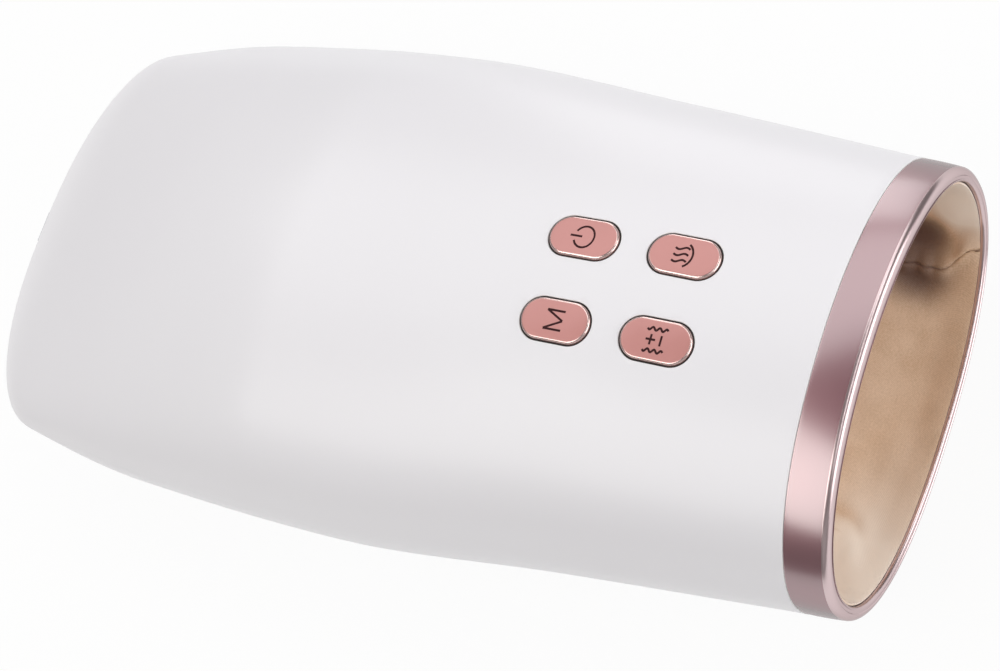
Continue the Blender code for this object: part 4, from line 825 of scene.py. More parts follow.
def floor_posts():
    """Bosses for the case screws, posts for the main board and seats for the rubber feet."""
    items = []
    for x, depth in CASE_SCREWS:
        low = floor_level(hull_outline(depth), x)
        high = low + FRONT_BOSS_HEIGHT if depth < LENGTH / 2.0 else PARTING_LEVEL - CLEARANCE
        foot = (x, along(depth), low + SHELL_WALL / 2.0)
        items.append((foot, (x, along(depth), high), CASE_BOSS_RADIUS))
    for x in (-BOARD_POST_OFFSET, BOARD_POST_OFFSET):
        low, high = [(x, along(BOARD_POST_DEPTH), level) for level in BOARD_POST_LEVELS]
        items.append((low, high, BOARD_POST_RADIUS))
    for x, depth in FEET:
        high = floor_level(hull_outline(depth), x) + SHELL_WALL
        items.append(((x, along(depth), FOOT_SEAT_LEVEL), (x, along(depth), high), FOOT_SEAT_RADIUS))
    return rods("floor_posts", items, ROUND_SIDES)


def floor_ribs():
    """Two upright ribs that the battery tray stands on."""
    ribs = []
    for x in (-TRAY_RIB_OFFSET, TRAY_RIB_OFFSET):
        low = (x - TRAY_RIB_HALF_WIDTH, along(TRAY_RIB_DEPTHS[0]), TRAY_RIB_LEVELS[0])
        high = (x + TRAY_RIB_HALF_WIDTH, along(TRAY_RIB_DEPTHS[1]), TRAY_RIB_LEVELS[1])
        ribs.append((low, high))
    return boxes("floor_ribs", ribs)


def floor_cuts():
    """Recesses for the rubber feet and wells for the heads of the case screws."""
    cuts = []
    for x, depth in FEET:
        seat = (x, along(depth), FOOT_HEIGHT + CLEARANCE)
        cuts.append(((x, along(depth), -OVERRUN), seat, FOOT_RADIUS + CLEARANCE))
    for x, depth in CASE_SCREWS:
        seat = floor_level(hull_outline(depth), x) + CASE_SCREW_SEAT
        cuts.append(((x, along(depth), -OVERRUN), (x, along(depth), seat), CASE_SCREW_HEAD + CLEARANCE))
    return rods("floor_cuts", cuts, ROUND_SIDES)


def bottom_shell():
    shell = half_hull("bottom_shell_skin", False)
    boolean(shell, floor_posts(), "UNION")
    boolean(shell, floor_ribs(), "UNION")
    boolean(shell, floor_cuts())
    smoothed(shell)
    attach(shell, "casing")
    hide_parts("bottom_shell")


bottom_shell()


# The front ring: a moulded band plated in satin rose gold, with a polished rim, groove and inner lip.
# It plugs into the hull's mouth, and a plastic hoop behind its lip clamps the pocket liner.
RING_AROUND = 288
REAR_ROUND = 0.0002
RIM_ROUND = 0.0017
RIM_STEPS = 10
GROOVE_INSET = 0.0018
GROOVE_WIDTH = 0.0002
GROOVE_SINK = 0.00018
BEAD_RADIUS = 0.0008
BEAD_TURNS = (-2.4, -4.0)
BEAD_STEPS = 12
BAND_CROWN = 0.00010
BAND_STEPS = 8
LIP_INSET = 0.0036
LIP_DEPTH = 0.0030
HOOP_SEAT_INSET = 0.0022
HOOP_SEAT_END = 0.0092
HOOP_WALL = 0.0013
SPIGOT_OUTER = SHELL_WALL + CLEARANCE
SPIGOT_WALL = 0.0013
SPIGOT_INNER = SPIGOT_OUTER + SPIGOT_WALL
SPIGOT_LENGTH = 0.0058
SPIGOT_END = RING_BAND + SPIGOT_LENGTH
SATIN, POLISHED = 0, 1
PLATING_RELIEF = 0.000001

ROSE_SATIN = coated(
    "rose_gold_satin_plating",
    (0.26, 0.086, 0.106),
    (0.245, 0.079, 0.098),
    scales=(60.0, 9000.0),
    rough=(0.46, 0.02),
    bump=PLATING_RELIEF,
    Metallic=1.0,
    Specular_Tint=(0.05, 0.02, 0.02, 1.0),
    Coat_Weight=1.0,
    Coat_IOR=2.85,
    Coat_Roughness=0.24,
)
ROSE_POLISHED = coated(
    "rose_gold_polished_plating",
    (0.62, 0.45, 0.46),
    (0.60, 0.43, 0.44),
    scales=(60.0, 9000.0),
    rough=(0.28, 0.015),
    bump=PLATING_RELIEF,
    Metallic=1.0,
    Specular_Tint=(0.25, 0.14, 0.14, 1.0),
    Coat_Weight=1.0,
    Coat_IOR=2.4,
    Coat_Roughness=0.20,
)
DARK_PLASTIC = coated("dark_plastic", (0.035, 0.033, 0.035), (0.05, 0.047, 0.05), rough=(0.5, 0.1))


def inset_outline(depth, inset):
    """The ring's outline at a depth, moved in by an inset."""
    half, top = hull_width_and_top(depth)
    return half - inset, FOOT_STAND + top - inset, FOOT_STAND + inset, FOOT_STAND + BELT_SHARE * top


def outline_point(outline, angle):
    """The point of a superellipse outline at an angle, counted from +X over the roof."""
    half, top, bottom, belt = outline
    across, up = math.cos(angle), math.sin(angle)
    power = 2.0 / (ROOF_POWER if up >= 0.0 else FLOOR_POWER)
    reach = (top - belt) if up >= 0.0 else (belt - bottom)
    x = math.copysign(abs(across) ** power, across) * half
    return x, belt + math.copysign(abs(up) ** power, up) * reach


def arc(depth, inset, radius, first, last, steps=ARC_STEPS):
    """Profile points on a round, between two angles in quarter turns, as depths and insets."""
    points = []
    for step in range(steps + 1):
        angle = (first + (last - first) * step / steps) * math.pi / 2.0
        points.append((depth + radius * math.cos(angle), inset + radius * math.sin(angle)))
    return points


def band(name, profile, looks):
    """A closed band round the mouth. Each profile point is a depth, an inset and the finish after it."""
    bm = bmesh.new()
    rings = []
    for depth, inset, _ in profile:
        outline = inset_outline(depth, inset)
        ring = []
        for step in range(RING_AROUND):
            x, z = outline_point(outline, 2.0 * math.pi * step / RING_AROUND)
            ring.append(bm.verts.new((x, along(depth), z)))
        rings.append(ring)
    for index, ring in enumerate(rings):
        following = rings[(index + 1) % len(rings)]
        for step in range(RING_AROUND):
            face = bm.faces.new((ring[step - 1], ring[step], following[step], following[step - 1]))
            face.material_index = profile[index][2]
    obj = from_bmesh(name, bm)
    for look in looks:
        obj.data.materials.append(look)
    return obj


def ring_profile():
    """The ring's section, from the rear of its band round the rim to the lip and the spigot."""
    finish = []
    finish += [(d, i, POLISHED) for d, i in arc(RING_BAND - REAR_ROUND, REAR_ROUND, REAR_ROUND, 0.0, -1.0)]
    finish[-1] = (*finish[-1][:2], SATIN)
    for step in range(1, BAND_STEPS):
        share = step / BAND_STEPS
        depth = RING_BAND - REAR_ROUND + (RIM_ROUND - RING_BAND + REAR_ROUND) * share
        finish.append((depth, -4.0 * BAND_CROWN * share * (1.0 - share), SATIN))
    finish += [(d, i, POLISHED) for d, i in arc(RIM_ROUND, RIM_ROUND, RIM_ROUND, -1.0, -2.0, RIM_STEPS)]
    groove = GROOVE_INSET + GROOVE_WIDTH
    finish += [(0.0, GROOVE_INSET, POLISHED), (GROOVE_SINK, groove, POLISHED)]
    bead = (BEAD_RADIUS, LIP_INSET - BEAD_RADIUS, BEAD_RADIUS)
    finish += [(d, i, POLISHED) for d, i in arc(*bead, *BEAD_TURNS, BEAD_STEPS)]
    finish[-1] = (*finish[-1][:2], SATIN)
    finish += [(d, i, POLISHED) for d, i in arc(*bead, 2.0, 1.0)]
    corners = [
        (LIP_DEPTH, LIP_INSET),
        (LIP_DEPTH, HOOP_SEAT_INSET),
        (HOOP_SEAT_END, HOOP_SEAT_INSET),
        (HOOP_SEAT_END, SPIGOT_INNER),
        (SPIGOT_END, SPIGOT_INNER),
        (SPIGOT_END, SPIGOT_OUTER),
        (RING_BAND, SPIGOT_OUTER),
    ]
    return finish + [(d, i, SATIN) for d, i in corners]


def front_ring():
    ring = band("front_ring_band", ring_profile(), [ROSE_SATIN, ROSE_POLISHED])
    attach(ring, "casing")
    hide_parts("front_ring")


def liner_hoop():
    outer = HOOP_SEAT_INSET + CLEARANCE
    inner = outer + HOOP_WALL
    start, end = LIP_DEPTH + CLEARANCE, HOOP_SEAT_END - CLEARANCE
    profile = [(start, outer, 0), (start, inner, 0), (end, inner, 0), (end, outer, 0)]
    hoop = band("liner_hoop_band", profile, [DARK_PLASTIC])
    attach(hoop, "casing")
    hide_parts("liner_hoop")


front_ring()
liner_hoop()


# Four buttons: moulded pills in satin rose-gold lacquer with a rounded edge, a flange under the roof
# and a stem down to their switch. Their signs are printed on them in dark brown ink.
BUTTON_PROUD = 0.0006
BUTTON_BEVEL = 0.0007
BUTTON_CROWN = 0.00015
FLANGE_LIP = 0.0011
FLANGE_TOP = -0.0032
FLANGE_BOTTOM = -0.0042
STEM_RADIUS = 0.0018
STEM_OVERLAP = 0.0005
STEM_END = {"front": -0.0050, "rear": -0.0057}
STROKE = 0.00056
SIGN_SHARES = {"power_button": 0.93, "heat_button": 0.93, "mode_button": 0.88, "level_button": 0.96}
INK_RISE = 0.00002
INK_SINK = 0.00012
SIGN_ARC_STEPS = 40
SIGN_WAVE_STEPS = 24
SIGN_LINE_STEPS = 6
FACE, EDGE = 0, 1
EDGE_ROWS = range(3, 8)
FACE_SHARES = (0.85, 0.65, 0.45, 0.25, 0.0)
# The ring of painted shade in each key's gap: its top, its lower edge and its clearance.
GAP_SHADE_LEVEL = -0.00030
GAP_SHADE_DROP = -0.0020
GAP_SHADE_CLEAR = 0.00004
KEY_RELIEF = 0.000003
KEY_EDGE_RELIEF = 0.000002

ROSE_KEY = coated(
    "rose_gold_key_lacquer",
    (0.58, 0.258, 0.238),
    (0.55, 0.240, 0.220),
    scales=(120.0, 6000.0),
    rough=(0.34, 0.05),
    bump=KEY_RELIEF,
    Metallic=0.15,
    Coat_Weight=0.25,
    Coat_Roughness=0.12,
)
KEY_EDGE = coated(
    "rose_gold_key_edge",
    (0.80, 0.60, 0.57),
    (0.76, 0.56, 0.53),
    scales=(120.0, 6000.0),
    rough=(0.20, 0.03),
    bump=KEY_EDGE_RELIEF,
    Metallic=0.85,
)
# A near-black ring in each key's gap: painted shade that keeps the gap dark.
KEY_GAP_SHADE = coated("key_gap_painted_shade", (0.012, 0.010, 0.010), (0.018, 0.016, 0.016), rough=(0.7, 0.1))
KEY_INK = coated(
    "key_ink",
    (0.030, 0.008, 0.009),
    (0.045, 0.012, 0.013),
    scales=(900.0, 9000.0),
    rough=(0.7, 0.1),
    Specular_IOR_Level=0.2,
)


def dome_level(x, y):
    """Height of a button's face, which swells a little towards its middle line."""
    straight = (BUTTON_LENGTH - BUTTON_WIDTH) / 2.0
    past = max(abs(y) - straight, 0.0)
    share = min(math.hypot(x, past) / (BUTTON_WIDTH / 2.0 - BUTTON_BEVEL), 1.0)
    return BUTTON_PROUD - BUTTON_CROWN * share**2


def button_rings(bm):
    """Rings of a key, from its flange up its side and round its edge to the middle of its face."""
    lip = 2.0 * FLANGE_LIP
    layers = [(-lip, FLANGE_BOTTOM), (-lip, FLANGE_TOP), (0.0, FLANGE_TOP)]
    edge = BUTTON_PROUD - BUTTON_CROWN
    for step in range(ARC_STEPS + 1):
        angle = math.pi / 2.0 * step / ARC_STEPS
        drop = BUTTON_BEVEL * (1.0 - math.sin(angle))
        layers.append((2.0 * BUTTON_BEVEL * (1.0 - math.cos(angle)), edge - drop))
    rings = []
    for inset, level in layers:
        outline = pill_points(BUTTON_LENGTH - inset, BUTTON_WIDTH - inset)
        rings.append([bm.verts.new((x, y, level)) for x, y in outline])
    inner = BUTTON_WIDTH - 2.0 * BUTTON_BEVEL
    for share in FACE_SHARES:
        width = max(inner * share, 2.0 * WELD)
        outline = pill_points(BUTTON_LENGTH - BUTTON_WIDTH + width, width)
        rings.append([bm.verts.new((x, y, dome_level(x, y))) for x, y in outline])
    return rings


def button(name, side, row):
    bm = bmesh.new()
    rings = button_rings(bm)
    for index, (first, second) in enumerate(zip(rings, rings[1:])):
        count = len(bm.faces)
        bridge(bm, first, second)
        bm.faces.ensure_lookup_table()
        for face in bm.faces[count:]:
            face.material_index = EDGE if index in EDGE_ROWS else FACE
    bm.faces.new(rings[0])
    bm.faces.new(rings[-1])
    matrix = button_matrix(side, row)
    bmesh.ops.transform(bm, matrix=matrix, verts=bm.verts)
    key = from_bmesh(name + "_pill", bm)
    for look in (ROSE_KEY, KEY_EDGE):
        key.data.materials.append(look)
    foot, top = (0.0, 0.0, STEM_END[row]), (0.0, 0.0, FLANGE_BOTTOM + STEM_OVERLAP)
    stem = rods(name + "_stem", [(foot, top, STEM_RADIUS)])
    stem.data.transform(matrix)
    smoothed(boolean(key, stem, "UNION"))
    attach(key, name)
    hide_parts(name)


def key_seals():
    """A thin near-black ring in the gap round each key, just below the roof: painted shade for the dark
    gap.
    """
    bm = bmesh.new()
    for side, row in BUTTONS.values():
        matrix = button_matrix(side, row)
        rings = []
        for reach, level in (
            (GAP_SHADE_CLEAR, GAP_SHADE_DROP),
            (GAP_SHADE_CLEAR, GAP_SHADE_LEVEL),
            (BUTTON_GAP - GAP_SHADE_CLEAR, GAP_SHADE_LEVEL),
            (BUTTON_GAP - GAP_SHADE_CLEAR, GAP_SHADE_DROP),
        ):
            points = pill_points(BUTTON_LENGTH + 2.0 * reach, BUTTON_WIDTH + 2.0 * reach)
            ring = []
            for x, y in points:
                spot = matrix @ Vector((x, y, 0.0))
                spot.z = roof_level(hull_outline(spot.y + LENGTH / 2.0), spot.x) + level
                ring.append(bm.verts.new(spot))
            rings.append(ring)
        for first, second in zip(rings, rings[1:] + rings[:1]):
            bridge(bm, first, second)
    seals = from_bmesh("key_seals", bm, KEY_GAP_SHADE)
    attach(seals, "casing")


def stroke(bm, points):
    """A flat inked line of even width along a path on a button's face."""
    count = len(points)
    sides = []
    for index in range(count):
        before, after = points[max(index - 1, 0)], points[min(index + 1, count - 1)]
        way = Vector((after[0] - before[0], after[1] - before[1])).normalized()
        across = Vector((-way.y, way.x)) * STROKE / 2.0
        row = []
        for sign in (-1.0, 1.0):
            x, y = points[index][0] + sign * across.x, points[index][1] + sign * across.y
            level = dome_level(x, y)
            row += [bm.verts.new((x, y, level + INK_RISE)), bm.verts.new((x, y, level - INK_SINK))]
        sides.append(row)
    for a, b in zip(sides, sides[1:]):
        bm.faces.new((a[0], a[2], b[2], b[0]))
        bm.faces.new((a[1], b[1], b[3], a[3]))
        bm.faces.new((a[0], b[0], b[1], a[1]))
        bm.faces.new((a[2], a[3], b[3], b[2]))
    bm.faces.new((sides[0][0], sides[0][1], sides[0][3], sides[0][2]))
    bm.faces.new((sides[-1][0], sides[-1][2], sides[-1][3], sides[-1][1]))


def round_path(radius, first, last, centre):
    """Points on an arc between two angles in degrees."""
    path = []
    for step in range(SIGN_ARC_STEPS + 1):
        angle = math.radians(first + (last - first) * step / SIGN_ARC_STEPS)
        path.append((centre[0] + radius * math.cos(angle), centre[1] + radius * math.sin(angle)))
    return path


def wave_path(x, y, length, swing, turns=1.0):
    """An upright line that waves from side to side."""
    steps = int(SIGN_WAVE_STEPS * turns)
    return [
        (x + swing * math.sin(2.0 * math.pi * turns * s / steps), y + length * (s / steps - 0.5))
        for s in range(steps + 1)
    ]


def straight_path(start, end):
    shares = [step / SIGN_LINE_STEPS for step in range(SIGN_LINE_STEPS + 1)]
    return [tuple(a + (b - a) * share for a, b in zip(start, end)) for share in shares]


# The signs' strokes. An arc has its radius, two angles in degrees and its middle. A wave has its middle,
# its length, its swing and its turns. A line has its two ends.
SIGNS = {
    "power_button": (
        (round_path, (0.0029, 116.0, 424.0, (0.0, -0.0003))),
        (straight_path, ((0.0, 0.0003), (0.0, 0.0038))),
    ),
    "heat_button": (
        (wave_path, (-0.0017, 0.0009, 0.0042, 0.00036)),
        (wave_path, (0.0, 0.0009, 0.0042, 0.00036)),
        (wave_path, (0.0017, 0.0009, 0.0042, 0.00036)),
        (round_path, (0.0034, 208.0, 332.0, (0.0, 0.0010))),
    ),
    "mode_button": (
        (straight_path, ((-0.0024, -0.0028), (-0.0024, 0.0028))),
        (straight_path, ((-0.0024, 0.0028), (0.0, -0.0026))),
        (straight_path, ((0.0, -0.0026), (0.0024, 0.0028))),
        (straight_path, ((0.0024, 0.0028), (0.0024, -0.0028))),
    ),
    "level_button": (
        (straight_path, ((-0.0013, 0.0013), (0.0013, 0.0013))),
        (straight_path, ((0.0, 0.0), (0.0, 0.0026))),
        (straight_path, ((-0.0013, -0.0015), (0.0013, -0.0015))),
        (wave_path, (-0.0027, 0.0, 0.0056, 0.00038, 3.0)),
        (wave_path, (0.0027, 0.0, 0.0056, 0.00038, 3.0)),
    ),
}


def sign(name):
    """A key's sign, printed in ink on its face."""
    bm = bmesh.new()
    for path, sizes in SIGNS[name]:
        stroke(bm, path(*sizes))
    size = Matrix.Diagonal((1.0, SIGN_SHARES[name], 1.0, 1.0))
    bmesh.ops.transform(bm, matrix=button_matrix(*BUTTONS[name]) @ size, verts=bm.verts)
    mark = from_bmesh(name.replace("button", "sign"), bm, KEY_INK)
    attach(mark, name)


key_seals()
for name, place in BUTTONS.items():
    button(name, *place)
    sign(name)


# The pocket liner: tan satin panels sewn edge to edge, their front edge clamped behind the ring's lip.
# The palm panel has a gathered seam along each side of the pocket.
FUNNEL_START = 0.0060
FUNNEL_END = 0.0377
LINER_FRONT = 0.0013
SEAM_FRONT = 0.0033
LINER_END = 0.1702
LINER_INSET = 0.0038
LINER_THICKNESS = 0.0005
POCKET_HALF = 0.0506
POCKET_TOP = 0.0520
POCKET_BOTTOM = 0.0198
POCKET_BELT = 0.0366
SEAM_ANGLE = math.radians(-43.0)
SEAM_LIFT = math.radians(9.0)
SEAM_LIFT_LENGTH = 0.0042
LEFT_SWING = math.radians(13.0)
LEFT_SWING_START = 0.0055
LEFT_SWING_LENGTH = 0.011
LEFT_SWING_SHARE = 0.2
LEFT_SEAM_START = 0.015
LEFT_SEAM_RISE = 0.010
SEAM_RIDGE = 0.0022
SEAM_RIDGE_WIDTH = 0.0042
SEAM_CREASE = 0.0009
SEAM_CREASE_WIDTH = 0.0005
# Painted shade along the crease of each seam.
SEAM_PAINTED_SHADE = 0.9
SEAM_ROWS = (-1.4, -1.0, -0.7, -0.45, -0.2, 0.0, 0.2, 0.45, 0.7, 1.0, 1.4)
SEAM_ROOM = 0.03
SEAM_DRAG = 0.35
SEAM_ARM = 0.05
PUCKER = 0.00035
PUCKER_PITCH = 0.0046
PUCKER_WIDTH = 0.0035
SOFT_SWELL = 0.0008
SOFT_SCALE = 40.0
CRUMPLE = 0.0003
CRUMPLE_SCALE = 130.0
RISE_LENGTH = 0.010
RISE_POWER = 0.7
SOFT_STRETCH_SHARE = 0.4
FULLNESS = 0.0012

# Each fold has a depth, an angle in degrees, its reach in both, how far the cloth moves in, and its
# painted shade.
# A painted shade below 0 is painted light, which pales the cloth near the mouth.
FOLD_SHARES = (
    (0.0155, -31.5, 0.0082, 9.5, -0.0015, 1.6),
    (0.0225, -38.0, 0.0080, 10.0, -0.0008, 0.65),
    (0.0165, -49.0, 0.0080, 7.0, -0.0012, 1.35),
    (0.0060, -16.0, 0.0050, 12.0, 0.0010, 0.0),
    (0.0165, -126.0, 0.0050, 4.5, -0.0008, 0.45),
    (0.0085, -141.0, 0.0065, 11.0, 0.0014, 0.0),
    (0.0230, -85.0, 0.0090, 16.0, 0.0008, 0.0),
    (0.0230, -80.0, 0.0140, 34.0, 0.0, 0.10),
    (0.0060, -143.0, 0.0120, 30.0, 0.0, -1.5),
    (0.0040, -10.0, 0.0080, 22.0, 0.0, -2.2),
)

LINER_STEPS = 132
LINER_ROWS = 60
MARK_ROOM = 0.0008
MARK_TURN = 0.012
OPENING_HALF = 0.0350
OPENING_FRONT = 0.0470
OPENING_REAR = 0.1570
CLOTH_PITCH = 0.0004
CLOTH_ROUGHNESS = 0.5
WARP_SLANT_SHARE = 0.45
WEFT_SLANT_SHARE = -0.30
WARP_SHARE = 0.16
WEFT_SHARE = 0.08
DULL_SHARE = 0.2
SPECKLE_SCALE = 2100.0
MOTTLE_SCALE = 110.0
MOTTLE_GAIN = 4.0
# The colours that painted shade and painted light mix into the satin.
PAINTED_SHADE_TONE = (0.09, 0.035, 0.028, 1.0)
PAINTED_LIGHT_TONE = (1.0, 0.88, 0.76, 1.0)
WEAVE_RELIEF = 0.00005
WEAVE_STRENGTH = 0.6
CLOTH_SHARP = math.radians(60.0)


def satin_weave():
    """Shader group: satin cloth, its long floats in fine diagonal lines, with slubs and soft mottling."""
    inputs = {
        "Cloth Place": "vector",
        "Colour": (0.5, 0.4, 0.3, 1.0),
        "Float Colour": (0.6, 0.5, 0.4, 1.0),
        "Thread Pitch": CLOTH_PITCH,
        "Roughness": CLOTH_ROUGHNESS,
        "Mottle Share": 0.25,
    }
    tree, given = new_tree("satin_weave", "ShaderNodeTree", inputs, SURFACE_OUT)
    place = add_node(tree, "ShaderNodeSeparateXYZ", given["Cloth Place"]).outputs
    turns = calc(tree, "DIVIDE", 2.0 * math.pi, given["Thread Pitch"])
    warp = calc(tree, "MULTIPLY_ADD", place[1], WARP_SLANT_SHARE, place[0])
    weft = calc(tree, "MULTIPLY_ADD", place[0], WEFT_SLANT_SHARE, place[1])
    slant, cross = [calc(tree, "MULTIPLY", thread, turns) for thread in (warp, weft)]
    floats = calc(tree, "MULTIPLY_ADD", calc(tree, "SINE", slant), WARP_SHARE, 0.5)
    weave = calc(tree, "MULTIPLY_ADD", calc(tree, "SINE", cross), WEFT_SHARE, floats)
    speckle = noise_at(tree, given["Cloth Place"], SPECKLE_SCALE, 3.0)
    mottle = noise_at(tree, given["Cloth Place"], MOTTLE_SCALE, 3.0)
    spread = calc(tree, "SUBTRACT", calc(tree, "ADD", speckle, mottle), 1.0)
    strength = calc(tree, "MULTIPLY", given["Mottle Share"], MOTTLE_GAIN)
    share = calc(tree, "MULTIPLY_ADD", spread, strength, weave)
    share = add_node(tree, "ShaderNodeClamp", share).outputs[0]
    mixed = mix_colours(tree, share, given["Colour"], given["Float Colour"])
    dull = calc(tree, "SUBTRACT", 0.5, share)
    rough = calc(tree, "MULTIPLY_ADD", dull, DULL_SHARE, given["Roughness"])
    add_node(tree, "NodeGroupOutput", mixed, rough, weave)
    return tree


WEAVE = satin_weave()


def cloth(name, colour, floats, mottle, **fixed):
    """A woven material that follows the piece's own cloth map, in metres, with painted shade and painted
    light mixed into its colour.
    """
    look, tree, shader = principled(name, **fixed)
    lay = add_node(tree, "ShaderNodeUVMap", uv_map="cloth").outputs[0]
    tones = ((*colour, 1.0), (*floats, 1.0))
    surface = surface_group(tree, WEAVE, lay, *tones, CLOTH_PITCH, CLOTH_ROUGHNESS, mottle)
    # Painted shade darkens the colour in folds and creases; below 0 the value is painted light that pales
    # it.
    painted_light_and_shade = add_node(tree, "ShaderNodeAttribute", attribute_name="painted_fold_shade").outputs["Fac"]
    pale = calc(tree, "MAXIMUM", calc(tree, "MULTIPLY", painted_light_and_shade, -1.0), 0.0)
    paled = mix_colours(tree, pale, surface["Colour"], PAINTED_LIGHT_TONE)
    dark = calc(tree, "MAXIMUM", painted_light_and_shade, 0.0)
    shaded = mix_colours(tree, dark, paled, PAINTED_SHADE_TONE, blend_type="MULTIPLY")
    wire_surface(tree, shader, surface, shaded, WEAVE_RELIEF, WEAVE_STRENGTH)
    return look


TAN_SATIN = cloth(
    "tan_satin",
    (0.63, 0.42, 0.265),
    (0.81, 0.585, 0.415),
    mottle=0.4,
    Sheen_Weight=0.45,
    Sheen_Roughness=0.4,
)


def blend_outlines(first, second, share):
    return tuple(a * (1.0 - share) + b * share for a, b in zip(first, second))


def liner_outline(depth):
    """Outline of the liner's outer face: the ring's at the mouth, drawn down to the pocket's."""
    deep = (POCKET_HALF, POCKET_TOP, POCKET_BOTTOM, POCKET_BELT)
    share = smooth_step(clamped((depth - FUNNEL_START) / (FUNNEL_END - FUNNEL_START)))
    near = inset_outline(min(depth, SPIGOT_END), LINER_INSET)
    return blend_outlines(near, deep, share)


def bump_at(value, middle, width):
    return math.exp(-(((value - middle) / width) ** 2))


SEAMS = ((1.0, SEAM_ANGLE), (-1.0, -math.pi - SEAM_ANGLE))


def seam_shift(side, depth):
    """How far a seam swings from its angle: up as it nears the lip, and on the left down with depth."""
    if side > 0.0:
        return SEAM_LIFT * math.exp(-(((max(depth, SEAM_FRONT) - SEAM_FRONT) / SEAM_LIFT_LENGTH) ** 2))
    share = smooth_step(clamped((depth - LEFT_SWING_START) / LEFT_SWING_LENGTH))
    return LEFT_SWING * (share - LEFT_SWING_SHARE)


def seam_pull(side, depth):
    """How strongly a seam draws the cloth in: the left one starts deeper, behind a plain facing."""
    return 1.0 if side > 0.0 else clamped((depth - LEFT_SEAM_START) / LEFT_SEAM_RISE)


def on_seam(depth, angle):
    """The angle moved so that the cloth's rows of faces follow the seams."""
    for side, seam in SEAMS:
        angle += seam_shift(side, depth) * bump_at(angle, seam, SEAM_DRAG)
    return angle


def fold_at(depth, angle, fold):
    return bump_at(depth, fold[0], fold[2]) * bump_at(math.degrees(angle), fold[1], fold[3])


def liner_sink(depth, angle):
    """How far the cloth stands in from its outline: full and soft, with folds, ridges along its seams."""
    x, z = outline_point(liner_outline(depth), angle)
    rise = clamped((depth - LINER_FRONT) / RISE_LENGTH) ** RISE_POWER
    soft = SOFT_SWELL * noise.noise(Vector((x, SOFT_STRETCH_SHARE * along(depth), z)) * SOFT_SCALE)
    soft += CRUMPLE * noise.noise(Vector((x, along(depth), z)) * CRUMPLE_SCALE)
    sink = FULLNESS + soft
    for fold in FOLD_SHARES:
        sink += fold[4] * fold_at(depth, angle, fold)
    for side, seam in SEAMS:
        pull = seam_pull(side, depth)
        off = (angle - seam) * SEAM_ARM
        wobble = math.sin(2.0 * math.pi * depth / PUCKER_PITCH + side) * bump_at(off, 0.0, PUCKER_WIDTH)
        sink += pull * (SEAM_RIDGE * bump_at(off, 0.0, SEAM_RIDGE_WIDTH) + PUCKER * wobble)
        sink -= pull * SEAM_CREASE * bump_at(off, 0.0, SEAM_CREASE_WIDTH)
    return max(rise * sink, 0.0)


def liner_shade(depth, angle):
    """Painted shade: 0 on open cloth, towards 1 in folds and along a crease; below 0 painted light that
    pales the cloth.
    """
    shade = sum(fold[5] * fold_at(depth, angle, fold) for fold in FOLD_SHARES)
    for side, seam in SEAMS:
        off = (angle - seam) * SEAM_ARM
        shade += SEAM_PAINTED_SHADE * seam_pull(side, depth) * bump_at(off, 0.0, SEAM_CREASE_WIDTH)
    return math.tanh(shade) if shade > 0.0 else shade


def liner_grid(angles, depths, skip=None):
    """A sheet over the pocket's outline, with its cloth map in metres. Skipped faces leave an opening."""
    bm = bmesh.new()
    lay = bm.loops.layers.uv.new("cloth")
    painted_light_and_shade = bm.verts.layers.float.new("painted_fold_shade")
    rows = []
    for depth in depths:
        outline = liner_outline(depth)
        row = []
        for angle in angles:
            x, z = outline_point(outline, on_seam(depth, angle))
            spot = Vector((x, along(depth), z))
            inward = Vector((-x, 0.0, outline[3] - z)).normalized()
            vert = bm.verts.new(spot + inward * liner_sink(depth, angle))
            # Each point keeps its painted shade, or below 0 its painted light.
            vert[painted_light_and_shade] = liner_shade(depth, angle)
            row.append(vert)
        rows.append(row)
    places = {}
    reach = 0.0
    middle = len(rows) // 2
    for index in range(len(angles)):
        if index:
            reach += (rows[middle][index].co - rows[middle][index - 1].co).length
        for row, depth in zip(rows, depths):
            places[row[index]] = (reach, depth)
    for first, second in zip(rows, rows[1:]):
        for index in range(len(angles) - 1):
            corners = (first[index], first[index + 1], second[index + 1], second[index])
            if skip and skip(sum((v.co for v in corners), Vector()) / 4.0):
                continue
            face = bm.faces.new(corners)
            for loop in face.loops:
                loop[lay].uv = places[loop.vert]
    return bm


def liner_depths(marks):
    """Close rows in the funnel and wider ones in the pocket, with a row at each mark."""
    count = LINER_ROWS
    depths = [LINER_FRONT + (FUNNEL_END - LINER_FRONT) * step / count for step in range(count + 1)]
    depths += [FUNNEL_END + (LINER_END - FUNNEL_END) * step / count for step in range(1, count + 1)]
    kept = [d for d in depths if all(abs(d - mark) > MARK_ROOM for mark in marks)]
    return sorted(kept + list(marks))


def cloth_area(bm):
    return sum(face.calc_area() for face in bm.faces)


def finish_cloth(name, bm, look, thickness=LINER_THICKNESS):
    """The sheet with its thickness laid inwards from its outer face."""
    data = bpy.data.meshes.new(name)
    bm.to_mesh(data)
    bm.free()
    obj = link_mesh(name, data, look)
    thick = obj.modifiers.new("cloth", "SOLIDIFY")
    thick.thickness = thickness
    thick.offset = 1.0
    bake_modifiers(obj)
    return smoothed(obj, CLOTH_SHARP)


def facing_in(bm):
    """Turn the sheet so that its faces look into the pocket, judged by one of them."""
    bm.normal_update()
    bm.faces.ensure_lookup_table()
    face = bm.faces[len(bm.faces) // 4]
    centre = face.calc_center_median()
    if face.normal.dot(Vector((0.0, centre.y, POCKET_BELT)) - centre) < 0.0:
        bmesh.ops.reverse_faces(bm, faces=bm.faces)
    return bm


